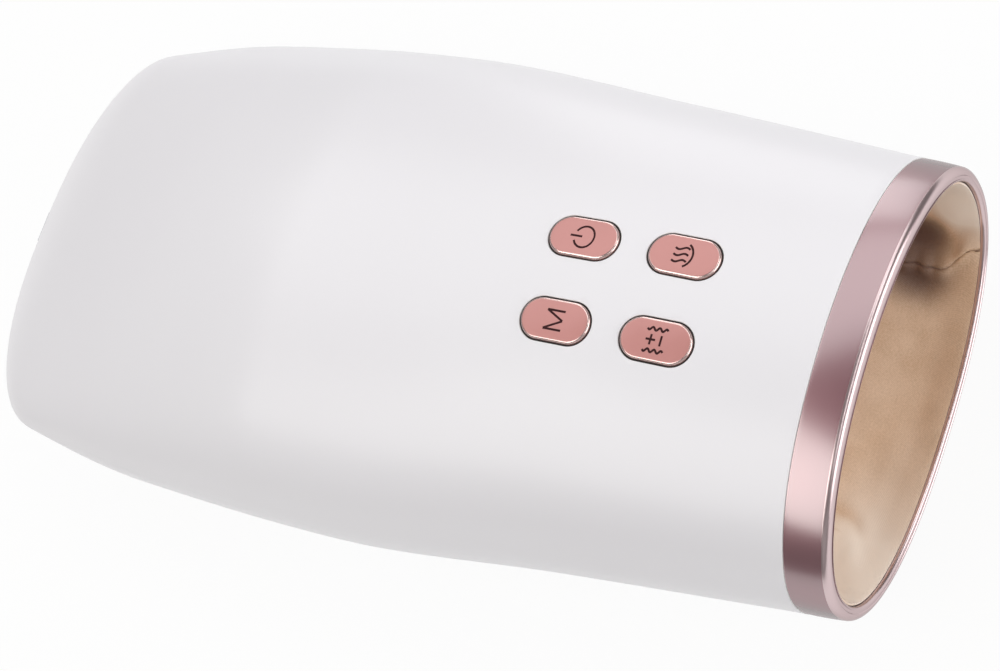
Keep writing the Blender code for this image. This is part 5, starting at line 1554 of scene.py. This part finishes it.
def lower_liner():
    angles = [-math.pi * step / LINER_STEPS for step in range(LINER_STEPS + 1)]
    for _, seam in SEAMS:
        angles = [a for a in angles if abs(a - seam) > SEAM_ROOM]
        angles += [seam + math.radians(step) for step in SEAM_ROWS]
    bm = facing_in(liner_grid(sorted(angles, reverse=True), liner_depths([])))
    area = cloth_area(bm)
    panel = finish_cloth("liner_palm_panel", bm, TAN_SATIN)
    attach(panel, "casing")
    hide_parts("liner_lower")


def over_the_pad(spot):
    """Whether a spot lies in the opening over the press cushion."""
    inside = abs(spot.x) < OPENING_HALF and along(OPENING_FRONT) < spot.y < along(OPENING_REAR)
    return inside and spot.z > POCKET_BELT


def angle_for(x):
    """The angle at which the pocket's roof outline reaches an x."""
    return math.acos((abs(x) / POCKET_HALF) ** (ROOF_POWER / 2.0) * (1.0 if x > 0.0 else -1.0))


def upper_liner():
    marks = [angle_for(OPENING_HALF), angle_for(-OPENING_HALF)]
    angles = [math.pi * step / LINER_STEPS for step in range(LINER_STEPS + 1)]
    angles = sorted([a for a in angles if all(abs(a - m) > MARK_TURN for m in marks)] + marks)
    depths = liner_depths([OPENING_FRONT, OPENING_REAR])
    bm = facing_in(liner_grid(angles, depths, over_the_pad))
    area = cloth_area(bm)
    panel = finish_cloth("liner_back_panel", bm, TAN_SATIN)
    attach(panel, "casing")
    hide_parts("liner_upper")


lower_liner()
upper_liner()


# Stitches along both seams of the liner, one short length of brown thread after another. Each one
# bridges the crease where the panels are sewn together.
STITCH_LENGTH = 0.0015
STITCH_PITCH = 0.0024
THREAD_RADIUS = 0.00015
STITCH_RISE = 0.0002
BEAD_SEGMENTS = 8
BEAD_RINGS = 5
SEAM_PATH_STEPS = 240
LEFT_STITCH_START = 0.022

THREAD = coated(
    "liner_thread", (0.22, 0.13, 0.08), (0.28, 0.17, 0.10), scales=(900.0, 9000.0), rough=(0.7, 0.1)
)


def stitch_tree():
    """Short lengths of thread at even steps along a path, each turned along it."""
    inputs = {
        "Path": None,
        "Stitch Length": STITCH_LENGTH,
        "Pitch": STITCH_PITCH,
        "Thread Radius": THREAD_RADIUS,
        "Look": THREAD,
    }
    tree, given = new_tree("stitches_on_path", "GeometryNodeTree", inputs, GEOMETRY_OUT)
    line = add_node(tree, "GeometryNodeMeshToCurve", given["Path"])
    spaced = tree.nodes.new("GeometryNodeResampleCurve")
    spaced.mode = "LENGTH"
    feed(tree, line.outputs[0], spaced.inputs["Curve"])
    feed(tree, given["Pitch"], spaced.inputs["Length"])
    turned_along = tree.nodes.new("FunctionNodeAlignRotationToVector")
    turned_along.axis = "X"
    feed(tree, tree.nodes.new("GeometryNodeInputTangent").outputs[0], turned_along.inputs["Vector"])
    bead = add_node(tree, "GeometryNodeMeshUVSphere", BEAD_SEGMENTS, BEAD_RINGS, 1.0)
    half = calc(tree, "MULTIPLY", given["Stitch Length"], 0.5)
    size = add_node(tree, "ShaderNodeCombineXYZ", half, given["Thread Radius"], given["Thread Radius"])
    placed = tree.nodes.new("GeometryNodeInstanceOnPoints")
    feed(tree, spaced.outputs[0], placed.inputs["Points"])
    feed(tree, bead.outputs[0], placed.inputs["Instance"])
    feed(tree, turned_along.outputs[0], placed.inputs["Rotation"])
    feed(tree, size.outputs[0], placed.inputs["Scale"])
    return painted_output(tree, given, placed)


STITCH_TREE = stitch_tree()


def seam_stitches(name, seam, first):
    """Stitches that bridge the crease of a seam."""
    points = []
    for step in range(SEAM_PATH_STEPS + 1):
        depth = first + (LINER_END - CLEARANCE - first) * step / SEAM_PATH_STEPS
        outline = liner_outline(depth)
        x, z = outline_point(outline, on_seam(depth, seam))
        inward = Vector((-x, 0.0, outline[3] - z)).normalized()
        rise = liner_sink(depth, seam) + LINER_THICKNESS + STITCH_RISE
        points.append(Vector((x, along(depth), z)) + inward * rise)
    data = bpy.data.meshes.new(name)
    data.from_pydata(points, [(i, i + 1) for i in range(len(points) - 1)], [])
    thread = smoothed(made_by_tree(name, STITCH_TREE, {"Look": THREAD}, data), math.pi)
    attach(thread, "casing")


seam_stitches("right_seam_stitches", SEAMS[0][1], LINER_FRONT + CLEARANCE)
seam_stitches("left_seam_stitches", SEAMS[1][1], LEFT_STITCH_START)


# The press cushion: a foam pad in a sewn satin cover, which the airbag pushes down on the hand.
# Its cover is sewn through in three cross channels and swells between them.
SLEEVE_OUTLINE = (0.0512, 0.0597, 0.0105, POCKET_BELT)
CUSHION_CLEAR = 0.0028
CUSHION_LOW_TOP = 0.0528
CUSHION_HALF = 0.0327
CUSHION_FRONT = 0.0493
CUSHION_REAR = 0.1547
CUSHION_INSET = 0.0005
CUSHION_SWELL = 0.0007
CUSHION_RIM = 0.0030
PAD_STEPS = (36, 56)
CORNER_SHARE = 0.05
CORNER_POWER = 6
PULL_SHARE = 0.02
PULL_POWER = 4
AIR_PRESSURE = 4.0
AIR_FRAMES = 20
CHANNEL_SHARES = (0.25, 0.5, 0.75)
CHANNEL_SINK = 0.0009
CHANNEL_WIDTH = 0.0016
COVER_CREASE = 0.0001
COVER_CREASE_SCALE = 160.0


def soft_slab(name, half, front, rear, levels, rim, weld):
    """Two arched sheets sewn together at their rim, on a grid that is finer towards the rim."""
    columns, rows = PAD_STEPS
    bm = bmesh.new()
    middle, reach = along((front + rear) / 2.0), (rear - front) / 2.0
    sheets = {1: {}, -1: {}}
    for i in range(columns + 1):
        u = math.sin(math.pi * (i / columns - 0.5))
        for j in range(rows + 1):
            v = math.sin(math.pi * (j / rows - 0.5))
            corner = CORNER_SHARE * (u * v) ** CORNER_POWER
            x = half * u * (1.0 - corner - PULL_SHARE * (1.0 - v * v) * u**PULL_POWER)
            y = middle + reach * v * (1.0 - corner - PULL_SHARE * (1.0 - u * u) * v**PULL_POWER)
            low, high = levels(x)
            inside = min(half * (1.0 - abs(u)), reach * (1.0 - abs(v)))
            share = min(max(inside - weld, 0.0) / rim, 1.0)
            swell = (high - low) / 2.0 * math.sqrt(1.0 - (1.0 - share) ** 2)
            on_rim = i in (0, columns) or j in (0, rows)
            least = 0.0 if on_rim else CLEARANCE / 2.0
            for side in (1, -1):
                if on_rim and side < 0:
                    sheets[side][i, j] = sheets[1][i, j]
                else:
                    level = (low + high) / 2.0 + side * max(swell, least)
                    sheets[side][i, j] = bm.verts.new((x, y, level))
    # The lower sheet's corners run the other way round, so that its faces look down.
    for side, sheet in sheets.items():
        for i in range(columns):
            for j in range(rows):
                bm.faces.new([sheet[i, j], sheet[i + 1, j], sheet[i + 1, j + 1], sheet[i, j + 1]][::side])
    return from_bmesh(name, bm)


def filled_with_air(obj, most):
    """Swell the closed form with Cloth, each point moving no further than a cap."""
    start = [vert.co.copy() for vert in obj.data.vertices]
    air = obj.modifiers.new("air", "CLOTH")
    air.settings.use_pressure = True
    air.settings.uniform_pressure_force = AIR_PRESSURE
    air.settings.effector_weights.gravity = 0.0
    for number in range(1, AIR_FRAMES + 1):
        scene.frame_set(number)
    bake_modifiers(obj)
    scene.frame_set(1)
    for vert, old in zip(obj.data.vertices, start):
        way = vert.co - old
        if way.length > most:
            vert.co = old + way.normalized() * most
    return obj


def sewn_pad(name, size, levels, rim, swell, weld=0.0):
    """A soft slab, swollen by air and smoothed. Its size is its half width, front and rear."""
    pad = filled_with_air(soft_slab(name, *size, levels, rim, weld), swell)
    step = pad.modifiers.new("soft", "SUBSURF")
    step.levels = step.render_levels = 1
    return bake_modifiers(pad)


def laid_flat(obj, look):
    """Give a piece its cloth map, in metres from above, and its material."""
    lay = obj.data.uv_layers.new(name="cloth")
    for loop in obj.data.loops:
        spot = obj.data.vertices[loop.vertex_index].co
        lay.data[loop.index].uv = (spot.x, spot.y)
    obj.data.materials.clear()
    obj.data.materials.append(look)
    return smoothed(obj, math.pi)


def cushion_levels(x):
    low = roof_level((POCKET_HALF, CUSHION_LOW_TOP, 0.0, POCKET_BELT), x) + CLEARANCE
    return low + CUSHION_INSET, roof_level(SLEEVE_OUTLINE, x) - CUSHION_CLEAR - CUSHION_INSET


def press_cushion():
    size = (CUSHION_HALF, CUSHION_FRONT, CUSHION_REAR)
    pad = sewn_pad("press_cushion", size, cushion_levels, CUSHION_RIM, CUSHION_SWELL)
    for vert in pad.data.vertices:
        low, high = cushion_levels(vert.co.x)
        lean = 1.0 if vert.co.z > (low + high) / 2.0 else -1.0
        sink = 0.0
        for share in CHANNEL_SHARES:
            place = along(CUSHION_FRONT + (CUSHION_REAR - CUSHION_FRONT) * share)
            sink += CHANNEL_SINK * bump_at(vert.co.y, place, CHANNEL_WIDTH)
        vert.co.z -= lean * sink * min(abs(vert.co.z - (low + high) / 2.0) / CHANNEL_SINK, 1.0)
        vert.co.z += COVER_CREASE * noise.noise(vert.co * COVER_CREASE_SCALE)
    laid_flat(pad, TAN_SATIN)
    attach(pad, "press_pad")
    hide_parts("press_pad")


press_cushion()


# The stretch skirt: a narrow band of the same satin that closes the gap between the liner's opening
# and the press cushion. Its upper edge stays in the sleeve and its lower edge follows the cushion.
SKIRT_HALF = 0.0342
SKIRT_FRONT = 0.0478
SKIRT_REAR = 0.1562
SKIRT_CORNER = 0.0030
SKIRT_CORNER_STEPS = 12
SKIRT_THICKNESS = 0.0003
SKIRT_GATHER = 0.00012
SKIRT_GATHERS = 96
SKIRT_ROWS = 8
SKIRT_STEPS = 576
SKIRT_DROP = 0.0066


def round_rectangle(half, front, rear, corner, steps):
    """Evenly spaced points round a rectangle with round corners, and the way out at each."""
    straight_x, straight_y = half - corner, (rear - front) / 2.0 - corner
    pieces = []
    for turn, (sx, sy) in enumerate(((1.0, 1.0), (-1.0, 1.0), (-1.0, -1.0), (1.0, -1.0))):
        for step in range(SKIRT_CORNER_STEPS + 1):
            angle = math.pi / 2.0 * (turn + step / SKIRT_CORNER_STEPS)
            out = Vector((math.cos(angle), math.sin(angle)))
            centre = Vector((sx * straight_x, along((front + rear) / 2.0) + sy * straight_y))
            pieces.append((centre + out * corner, out))
    lengths = [(b[0] - a[0]).length for a, b in zip(pieces, pieces[1:] + pieces[:1])]
    around = sum(lengths)
    index, done, points = 0, 0.0, []
    for step in range(steps):
        place = around * step / steps
        while index < len(lengths) - 1 and done + lengths[index] < place:
            done += lengths[index]
            index += 1
        share = (place - done) / max(lengths[index], WELD)
        a, b = pieces[index], pieces[(index + 1) % len(pieces)]
        points.append((a[0].lerp(b[0], share), a[1].lerp(b[1], share).normalized()))
    return points, around


def stretch_skirt():
    bm = bmesh.new()
    lay = bm.loops.layers.uv.new("cloth")
    points, around = round_rectangle(SKIRT_HALF, SKIRT_FRONT, SKIRT_REAR, SKIRT_CORNER, SKIRT_STEPS)
    rows = []
    for row in range(SKIRT_ROWS + 1):
        share = row / SKIRT_ROWS
        ring = []
        for index, (spot, out) in enumerate(points):
            low = roof_level((POCKET_HALF, CUSHION_LOW_TOP, 0.0, POCKET_BELT), spot.x)
            high = roof_level(SLEEVE_OUTLINE, spot.x) - CLEARANCE
            wave = math.sin(2.0 * math.pi * SKIRT_GATHERS * index / SKIRT_STEPS)
            place = spot + out * SKIRT_GATHER * wave * math.sin(math.pi * share)
            ring.append(bm.verts.new((place.x, place.y, low + (high - low) * share)))
        rows.append(ring)
    for row, (first, second) in enumerate(zip(rows, rows[1:])):
        for index in range(SKIRT_STEPS):
            nearer = (index + 1) % SKIRT_STEPS
            face = bm.faces.new((first[index], first[nearer], second[nearer], second[index]))
            places = ((index, row), (index + 1, row), (index + 1, row + 1), (index, row + 1))
            for loop, (across, up) in zip(face.loops, places):
                loop[lay].uv = (around * across / SKIRT_STEPS, SKIRT_DROP * up / SKIRT_ROWS)
    area = cloth_area(bm)
    skirt = finish_cloth("stretch_skirt", bm, TAN_SATIN, SKIRT_THICKNESS)
    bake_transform(skirt)


stretch_skirt()


# The airbag over the cushion: two plastic films welded together round their rim. It lies under the
# sleeve's roof, and its lower film goes down with the press pad as the pump fills it.
BAG_HALF = 0.0338
BAG_FRONT = 0.0482
BAG_REAR = 0.1558
BAG_THICKNESS = 0.0019
BAG_SWELL = 0.0001
BAG_RIM = 0.0060
BAG_WELD = 0.0035
BAG_CREASE = 0.00012
BAG_CREASE_SCALE = 90.0
BAG_CREASE_SQUEEZE = 3.0
BAG_RELIEF = 0.00006

BAG_FILM = coated(
    "airbag_film",
    (0.045, 0.052, 0.070),
    (0.065, 0.072, 0.090),
    scales=(90.0, 1500.0),
    rough=(0.34, 0.12),
    bump=BAG_RELIEF,
    Coat_Weight=0.3,
)


def bag_levels(x):
    high = roof_level(SLEEVE_OUTLINE, x) - CLEARANCE - BAG_SWELL
    return high - BAG_THICKNESS, high


def airbag():
    size = (BAG_HALF, BAG_FRONT, BAG_REAR)
    bag = sewn_pad("airbag_cell", size, bag_levels, BAG_RIM, BAG_SWELL, BAG_WELD)
    for vert in bag.data.vertices:
        spot = Vector((vert.co.x * BAG_CREASE_SQUEEZE, vert.co.y, vert.co.z))
        vert.co.z += BAG_CREASE * noise.noise(spot * BAG_CREASE_SCALE)
    laid_flat(bag, BAG_FILM)
    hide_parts("upper_airbag")
    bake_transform(bag)


airbag()


# The palm floor: a foam sheet on the sleeve, a heating film on it, and a nubbed plate on top. The film
# is amber plastic printed with carbon tracks, and the plate is moulded in dark plastic.
PALM_HALF = 0.0298
PALM_FRONT = 0.0502
PALM_REAR = 0.1498
PALM_THICKNESS = 0.0022
PALM_RIM = 0.0016
PALM_SWELL = 0.0001
FOAM_RELIEF = 0.0003
TRACK_PITCH = 0.0050
TRACK_HALF = 0.0265
TRACK_SHARE = 0.25
FILM_SCALE = 120.0
AMBER = (0.50, 0.22, 0.035, 1.0)
PALE_AMBER = (0.62, 0.30, 0.06, 1.0)
CARBON = (0.03, 0.025, 0.022, 1.0)

FOAM = coated(
    "palm_foam",
    (0.055, 0.055, 0.058),
    (0.085, 0.085, 0.088),
    scales=(700.0, 1900.0),
    rough=(0.9, 0.1),
    bump=FOAM_RELIEF,
)


def palm_levels(x):
    low = floor_level(SLEEVE_OUTLINE, x) + CLEARANCE
    return low, low + PALM_THICKNESS


def palm_foam():
    size = (PALM_HALF, PALM_FRONT, PALM_REAR)
    sheet = sewn_pad("palm_foam_sheet", size, palm_levels, PALM_RIM, PALM_SWELL)
    laid_flat(sheet, FOAM)
    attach(sheet, "casing")
    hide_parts("palm_foam")


palm_foam()


def printed_film():
    """Amber film with dark carbon tracks that run back and forth."""
    look, tree, shader = principled("heating_film", Roughness=0.32, Coat_Weight=0.5)
    place = tree.nodes.new("ShaderNodeTexCoord").outputs["Object"]
    split = add_node(tree, "ShaderNodeSeparateXYZ", place).outputs
    run = calc(tree, "SINE", calc(tree, "MULTIPLY", split[1], 2.0 * math.pi / TRACK_PITCH))
    ends = calc(tree, "GREATER_THAN", calc(tree, "ABSOLUTE", split[0]), TRACK_HALF)
    inked = calc(tree, "GREATER_THAN", run, TRACK_SHARE)
    track = calc(tree, "MULTIPLY", inked, calc(tree, "SUBTRACT", 1.0, ends))
    film = mix_colours(tree, noise_at(tree, place, FILM_SCALE), AMBER, PALE_AMBER)
    feed(tree, mix_colours(tree, track, film, CARBON), shader.inputs["Base Color"])
    return look


def finish_node(look, *names):
    """Give CAD solids that stay in view a procedural material."""
    for name in names:
        data = bpy.data.objects[name].data
        data.materials.clear()
        data.materials.append(look)


finish_node(printed_film(), "heating_film")
finish_node(DARK_PLASTIC, "palm_plate")


# The sleeve that holds the pocket: an upper and a lower half, moulded in matte off-white plastic.
# Four screws through their lugs hold them together.
INNER_RELIEF = 0.00003
INNER_PLASTIC = coated(
    "matte_inner_plastic",
    (0.52, 0.52, 0.50),
    (0.57, 0.57, 0.55),
    scales=(70.0, 2200.0),
    rough=(0.55, 0.12),
    bump=INNER_RELIEF,
)
finish_node(INNER_PLASTIC, "upper_frame", "lower_frame")


# Screws hold the key board, the sleeve and the casing. They are plated steel with a cross recess.
# Four rubber feet are pressed into round seats under the casing.
HEAD_HEIGHT = 0.0013
HEAD_CROWN_SHARE = 0.55
HEAD_SIDE_SHARE = 0.35
THREAD_PITCH = 0.0007
THREAD_DEPTH = 0.00016
CROSS_WIDTH = 0.0006
CROSS_REACH_SHARE = 0.62
CROSS_DEPTH = 0.0008
SCREW_SIDES = 40
SPIN_SEED = 7
SMALL_SCREW = (0.0020, 0.0010)
CASE_SCREW = (0.0026, 0.0013)
FOOT_EDGE = 0.0006
FOOT_EDGE_STEPS = 5
FOOT_SIDES = 56
FOOT_DISH_SHARE = 0.72
FOOT_DISH = 0.0003
FOOT_DISH_STEPS = 2
STEEL_RELIEF = 0.00001
RUBBER_RELIEF = 0.00004
PART_SHARP = math.radians(35.0)

STEEL = coated(
    "plated_steel",
    (0.56, 0.56, 0.57),
    (0.62, 0.62, 0.63),
    scales=(120.0, 3000.0),
    rough=(0.30, 0.10),
    bump=STEEL_RELIEF,
    Metallic=1.0,
)
RUBBER = coated(
    "black_rubber",
    (0.020, 0.020, 0.021),
    (0.032, 0.032, 0.034),
    scales=(160.0, 2500.0),
    rough=(0.72, 0.12),
    bump=RUBBER_RELIEF,
)


def repeat_tree():
    """One part repeated at given places, turned over where it points down, and spun at random."""
    inputs = {
        "Places": None,
        "Part": bpy.data.objects["top_shell"],
        "Turn": 0.0,
        "Spin Seed": SPIN_SEED,
        "Look": STEEL,
    }
    tree, given = new_tree("part_at_places", "GeometryNodeTree", inputs, GEOMETRY_OUT)
    part = tree.nodes.new("GeometryNodeObjectInfo")
    feed(tree, given["Part"], part.inputs["Object"])
    spin = tree.nodes.new("FunctionNodeRandomValue")
    spin.data_type = "FLOAT"
    for socket in spin.inputs:
        if socket.enabled and socket.name == "Max":
            socket.default_value = math.pi
        if socket.enabled and socket.name == "Seed":
            feed(tree, given["Spin Seed"], socket)
    spun = [socket for socket in spin.outputs if socket.enabled][0]
    turn = add_node(tree, "ShaderNodeCombineXYZ", given["Turn"], 0.0, spun)
    placed = tree.nodes.new("GeometryNodeInstanceOnPoints")
    feed(tree, given["Places"], placed.inputs["Points"])
    feed(tree, part.outputs["Geometry"], placed.inputs["Instance"])
    feed(tree, turn.outputs[0], placed.inputs["Rotation"])
    return painted_output(tree, given, placed)


REPEAT_TREE = repeat_tree()


def turned(name, outline, sides=SCREW_SIDES):
    """A solid turned from radii and levels, from its top down to its lower end."""
    bm = bmesh.new()
    rings = []
    for radius, level in outline:
        ring = []
        for step in range(sides):
            angle = 2.0 * math.pi * step / sides
            ring.append(bm.verts.new((radius * math.cos(angle), radius * math.sin(angle), level)))
        rings.append(ring)
    for first, second in zip(rings, rings[1:]):
        bridge(bm, first, second)
    return from_bmesh(name, bm)


def repeated(name, part, places, look, turn, body, slot, *nodes):
    """One part at each of its places, as one piece that stands for these nodes."""
    data = bpy.data.meshes.new(name)
    data.from_pydata(places, [], [])
    made = made_by_tree(name, REPEAT_TREE, {"Part": part, "Turn": turn, "Look": look}, data)
    bpy.data.objects.remove(part)
    smoothed(made, PART_SHARP)
    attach(made, body)
    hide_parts(*nodes)


def screw_part(head, shank, length):
    """A pan-head screw, its head's underside at zero, with rounded threads and a cross recess."""
    outline = [(0.0, HEAD_HEIGHT)]
    for step in range(ARC_STEPS + 1):
        angle = math.pi / 2.0 * step / ARC_STEPS
        radius = head * (HEAD_CROWN_SHARE + (1.0 - HEAD_CROWN_SHARE) * math.sin(angle))
        rise = HEAD_SIDE_SHARE + (1.0 - HEAD_SIDE_SHARE) * math.cos(angle)
        outline.append((radius, HEAD_HEIGHT * rise))
    outline += [(head, 0.0), (shank, 0.0)]
    turns = int((length - shank) / THREAD_PITCH)
    for index in range(turns):
        outline.append((shank - THREAD_DEPTH, -THREAD_PITCH * (index + 0.5)))
        outline.append((shank, -THREAD_PITCH * (index + 1.0)))
    outline += [(shank - THREAD_DEPTH, shank - length), (0.0, -length)]
    screw = turned("screw_part", outline)
    reach = head * CROSS_REACH_SHARE
    for x, y in ((reach, CROSS_WIDTH / 2.0), (CROSS_WIDTH / 2.0, reach)):
        low, high = (-x, -y, HEAD_HEIGHT - CROSS_DEPTH), (x, y, HEAD_HEIGHT + OVERRUN)
        boolean(screw, boxes("cross", [(low, high)]))
    return screw


def node_screws(name, head, shank, *nodes):
    """Screws where the CAD screws stand, all of one length, their heads down."""
    places = []
    for node in nodes:
        low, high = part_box(node)
        places.append(((low[0] + high[0]) / 2.0, (low[1] + high[1]) / 2.0, low[2] + HEAD_HEIGHT))
    length = high[2] - low[2] - HEAD_HEIGHT
    repeated(name, screw_part(head, shank, length), places, STEEL, math.pi, "casing", "steel", *nodes)


def numbered(name, *numbers):
    return [name + str(number) for number in numbers]


node_screws("key_board_screws", *SMALL_SCREW, *numbered("key_screw_", 1, 2, 3, 4))
node_screws("sleeve_screws", *SMALL_SCREW, *numbered("frame_screw_", 1, 2, 3, 4))
node_screws("front_case_screws", *CASE_SCREW, *numbered("case_screw_", 1, 2))
node_screws("rear_case_screws", *CASE_SCREW, *numbered("case_screw_", 3, 4))


def rubber_feet():
    """Four feet with a rounded edge and a dished sole."""
    chamfer = FOOT_EDGE / 2.0
    outline = [(0.0, FOOT_HEIGHT), (FOOT_RADIUS - chamfer, FOOT_HEIGHT)]
    outline.append((FOOT_RADIUS, FOOT_HEIGHT - chamfer))
    for step in range(FOOT_EDGE_STEPS + 1):
        angle = math.pi / 2.0 * step / FOOT_EDGE_STEPS
        radius = FOOT_RADIUS - FOOT_EDGE * (1.0 - math.cos(angle))
        outline.append((radius, FOOT_EDGE * (1.0 - math.sin(angle))))
    dish = FOOT_RADIUS * FOOT_DISH_SHARE
    for step in range(FOOT_DISH_STEPS + 1):
        share = step / FOOT_DISH_STEPS
        outline.append((dish + FOOT_DISH * (1.0 - 2.0 * share), FOOT_DISH * share))
    outline.append((0.0, FOOT_DISH))
    places = [(x, along(depth), 0.0) for x, depth in FEET]
    nodes = numbered("rubber_foot_", 1, 2, 3, 4)
    foot = turned("foot_part", outline, FOOT_SIDES)
    repeated("rubber_feet", foot, places, RUBBER, 0.0, "casing", "black_rubber", *nodes)


rubber_feet()


# The boards: green solder mask over copper tracks, with tinned pads. The key board hangs from four
# screws, the main board stands in slotted posts, and a flat cable joins the two.
TRACK_CELLS = (430.0, "MANHATTAN", 0.22)
PAD_CELLS = (200.0, "CHEBYCHEV", 0.10)
MASK_GREEN = (0.012, 0.11, 0.045, 1.0)
TRACK_GREEN = (0.03, 0.19, 0.08, 1.0)
TIN = (0.62, 0.60, 0.55, 1.0)
MASK_ROUGHNESS = 0.42
TRACK_GLOSS = -0.1


def board_look():
    """Green solder mask, brighter over the copper tracks, with pads of bare tin."""
    look, tree, shader = principled("solder_mask", Coat_Weight=0.4, Coat_Roughness=0.2)
    place = tree.nodes.new("ShaderNodeTexCoord").outputs["Object"]
    masks = []
    for scale, metric, limit in (TRACK_CELLS, PAD_CELLS):
        cells = tree.nodes.new("ShaderNodeTexVoronoi")
        cells.distance = metric
        cells.inputs["Scale"].default_value = scale
        feed(tree, place, cells.inputs["Vector"])
        masks.append(calc(tree, "LESS_THAN", cells.outputs["Distance"], limit))
    tracks = mix_colours(tree, masks[0], MASK_GREEN, TRACK_GREEN)
    feed(tree, mix_colours(tree, masks[1], tracks, TIN), shader.inputs["Base Color"])
    feed(tree, masks[1], shader.inputs["Metallic"])
    rough = calc(tree, "MULTIPLY_ADD", masks[0], TRACK_GLOSS, MASK_ROUGHNESS)
    feed(tree, rough, shader.inputs["Roughness"])
    return look


finish_node(board_look(), "key_board", "main_board", "jack_board")
FLAT_CABLE = coated(
    "flat_cable", (0.60, 0.60, 0.57), (0.68, 0.68, 0.65), scales=(400.0, 3000.0), rough=(0.4, 0.1)
)
finish_node(FLAT_CABLE, "key_ribbon")


# Power and air: two wrapped cells in a tray, a small motor pump in a rubber cradle, two valves and their
# tubes, and the charging jack in the rear of the casing.
TUBE_SCATTER = 0.002
CELL_WRAP = coated(
    "cell_shrink_wrap",
    (0.02, 0.08, 0.28),
    (0.03, 0.10, 0.33),
    scales=(60.0, 900.0),
    rough=(0.25, 0.08),
    Coat_Weight=0.5,
)
TUBE = coated(
    "silicone_tube",
    (0.66, 0.66, 0.62),
    (0.72, 0.72, 0.69),
    scales=(90.0, 1500.0),
    rough=(0.35, 0.08),
    Subsurface_Weight=0.3,
    Subsurface_Scale=TUBE_SCATTER,
)
finish_node(CELL_WRAP, "battery_cell_1", "battery_cell_2")
finish_node(DARK_PLASTIC, "battery_tray", "pump_head")
finish_node(RUBBER, "pump_cradle")
finish_node(STEEL, "pump_motor", "pump_eccentric", "fill_valve", "release_valve", "charging_jack")
finish_node(TUBE, "pump_tube", "bag_tube", "valve_link")
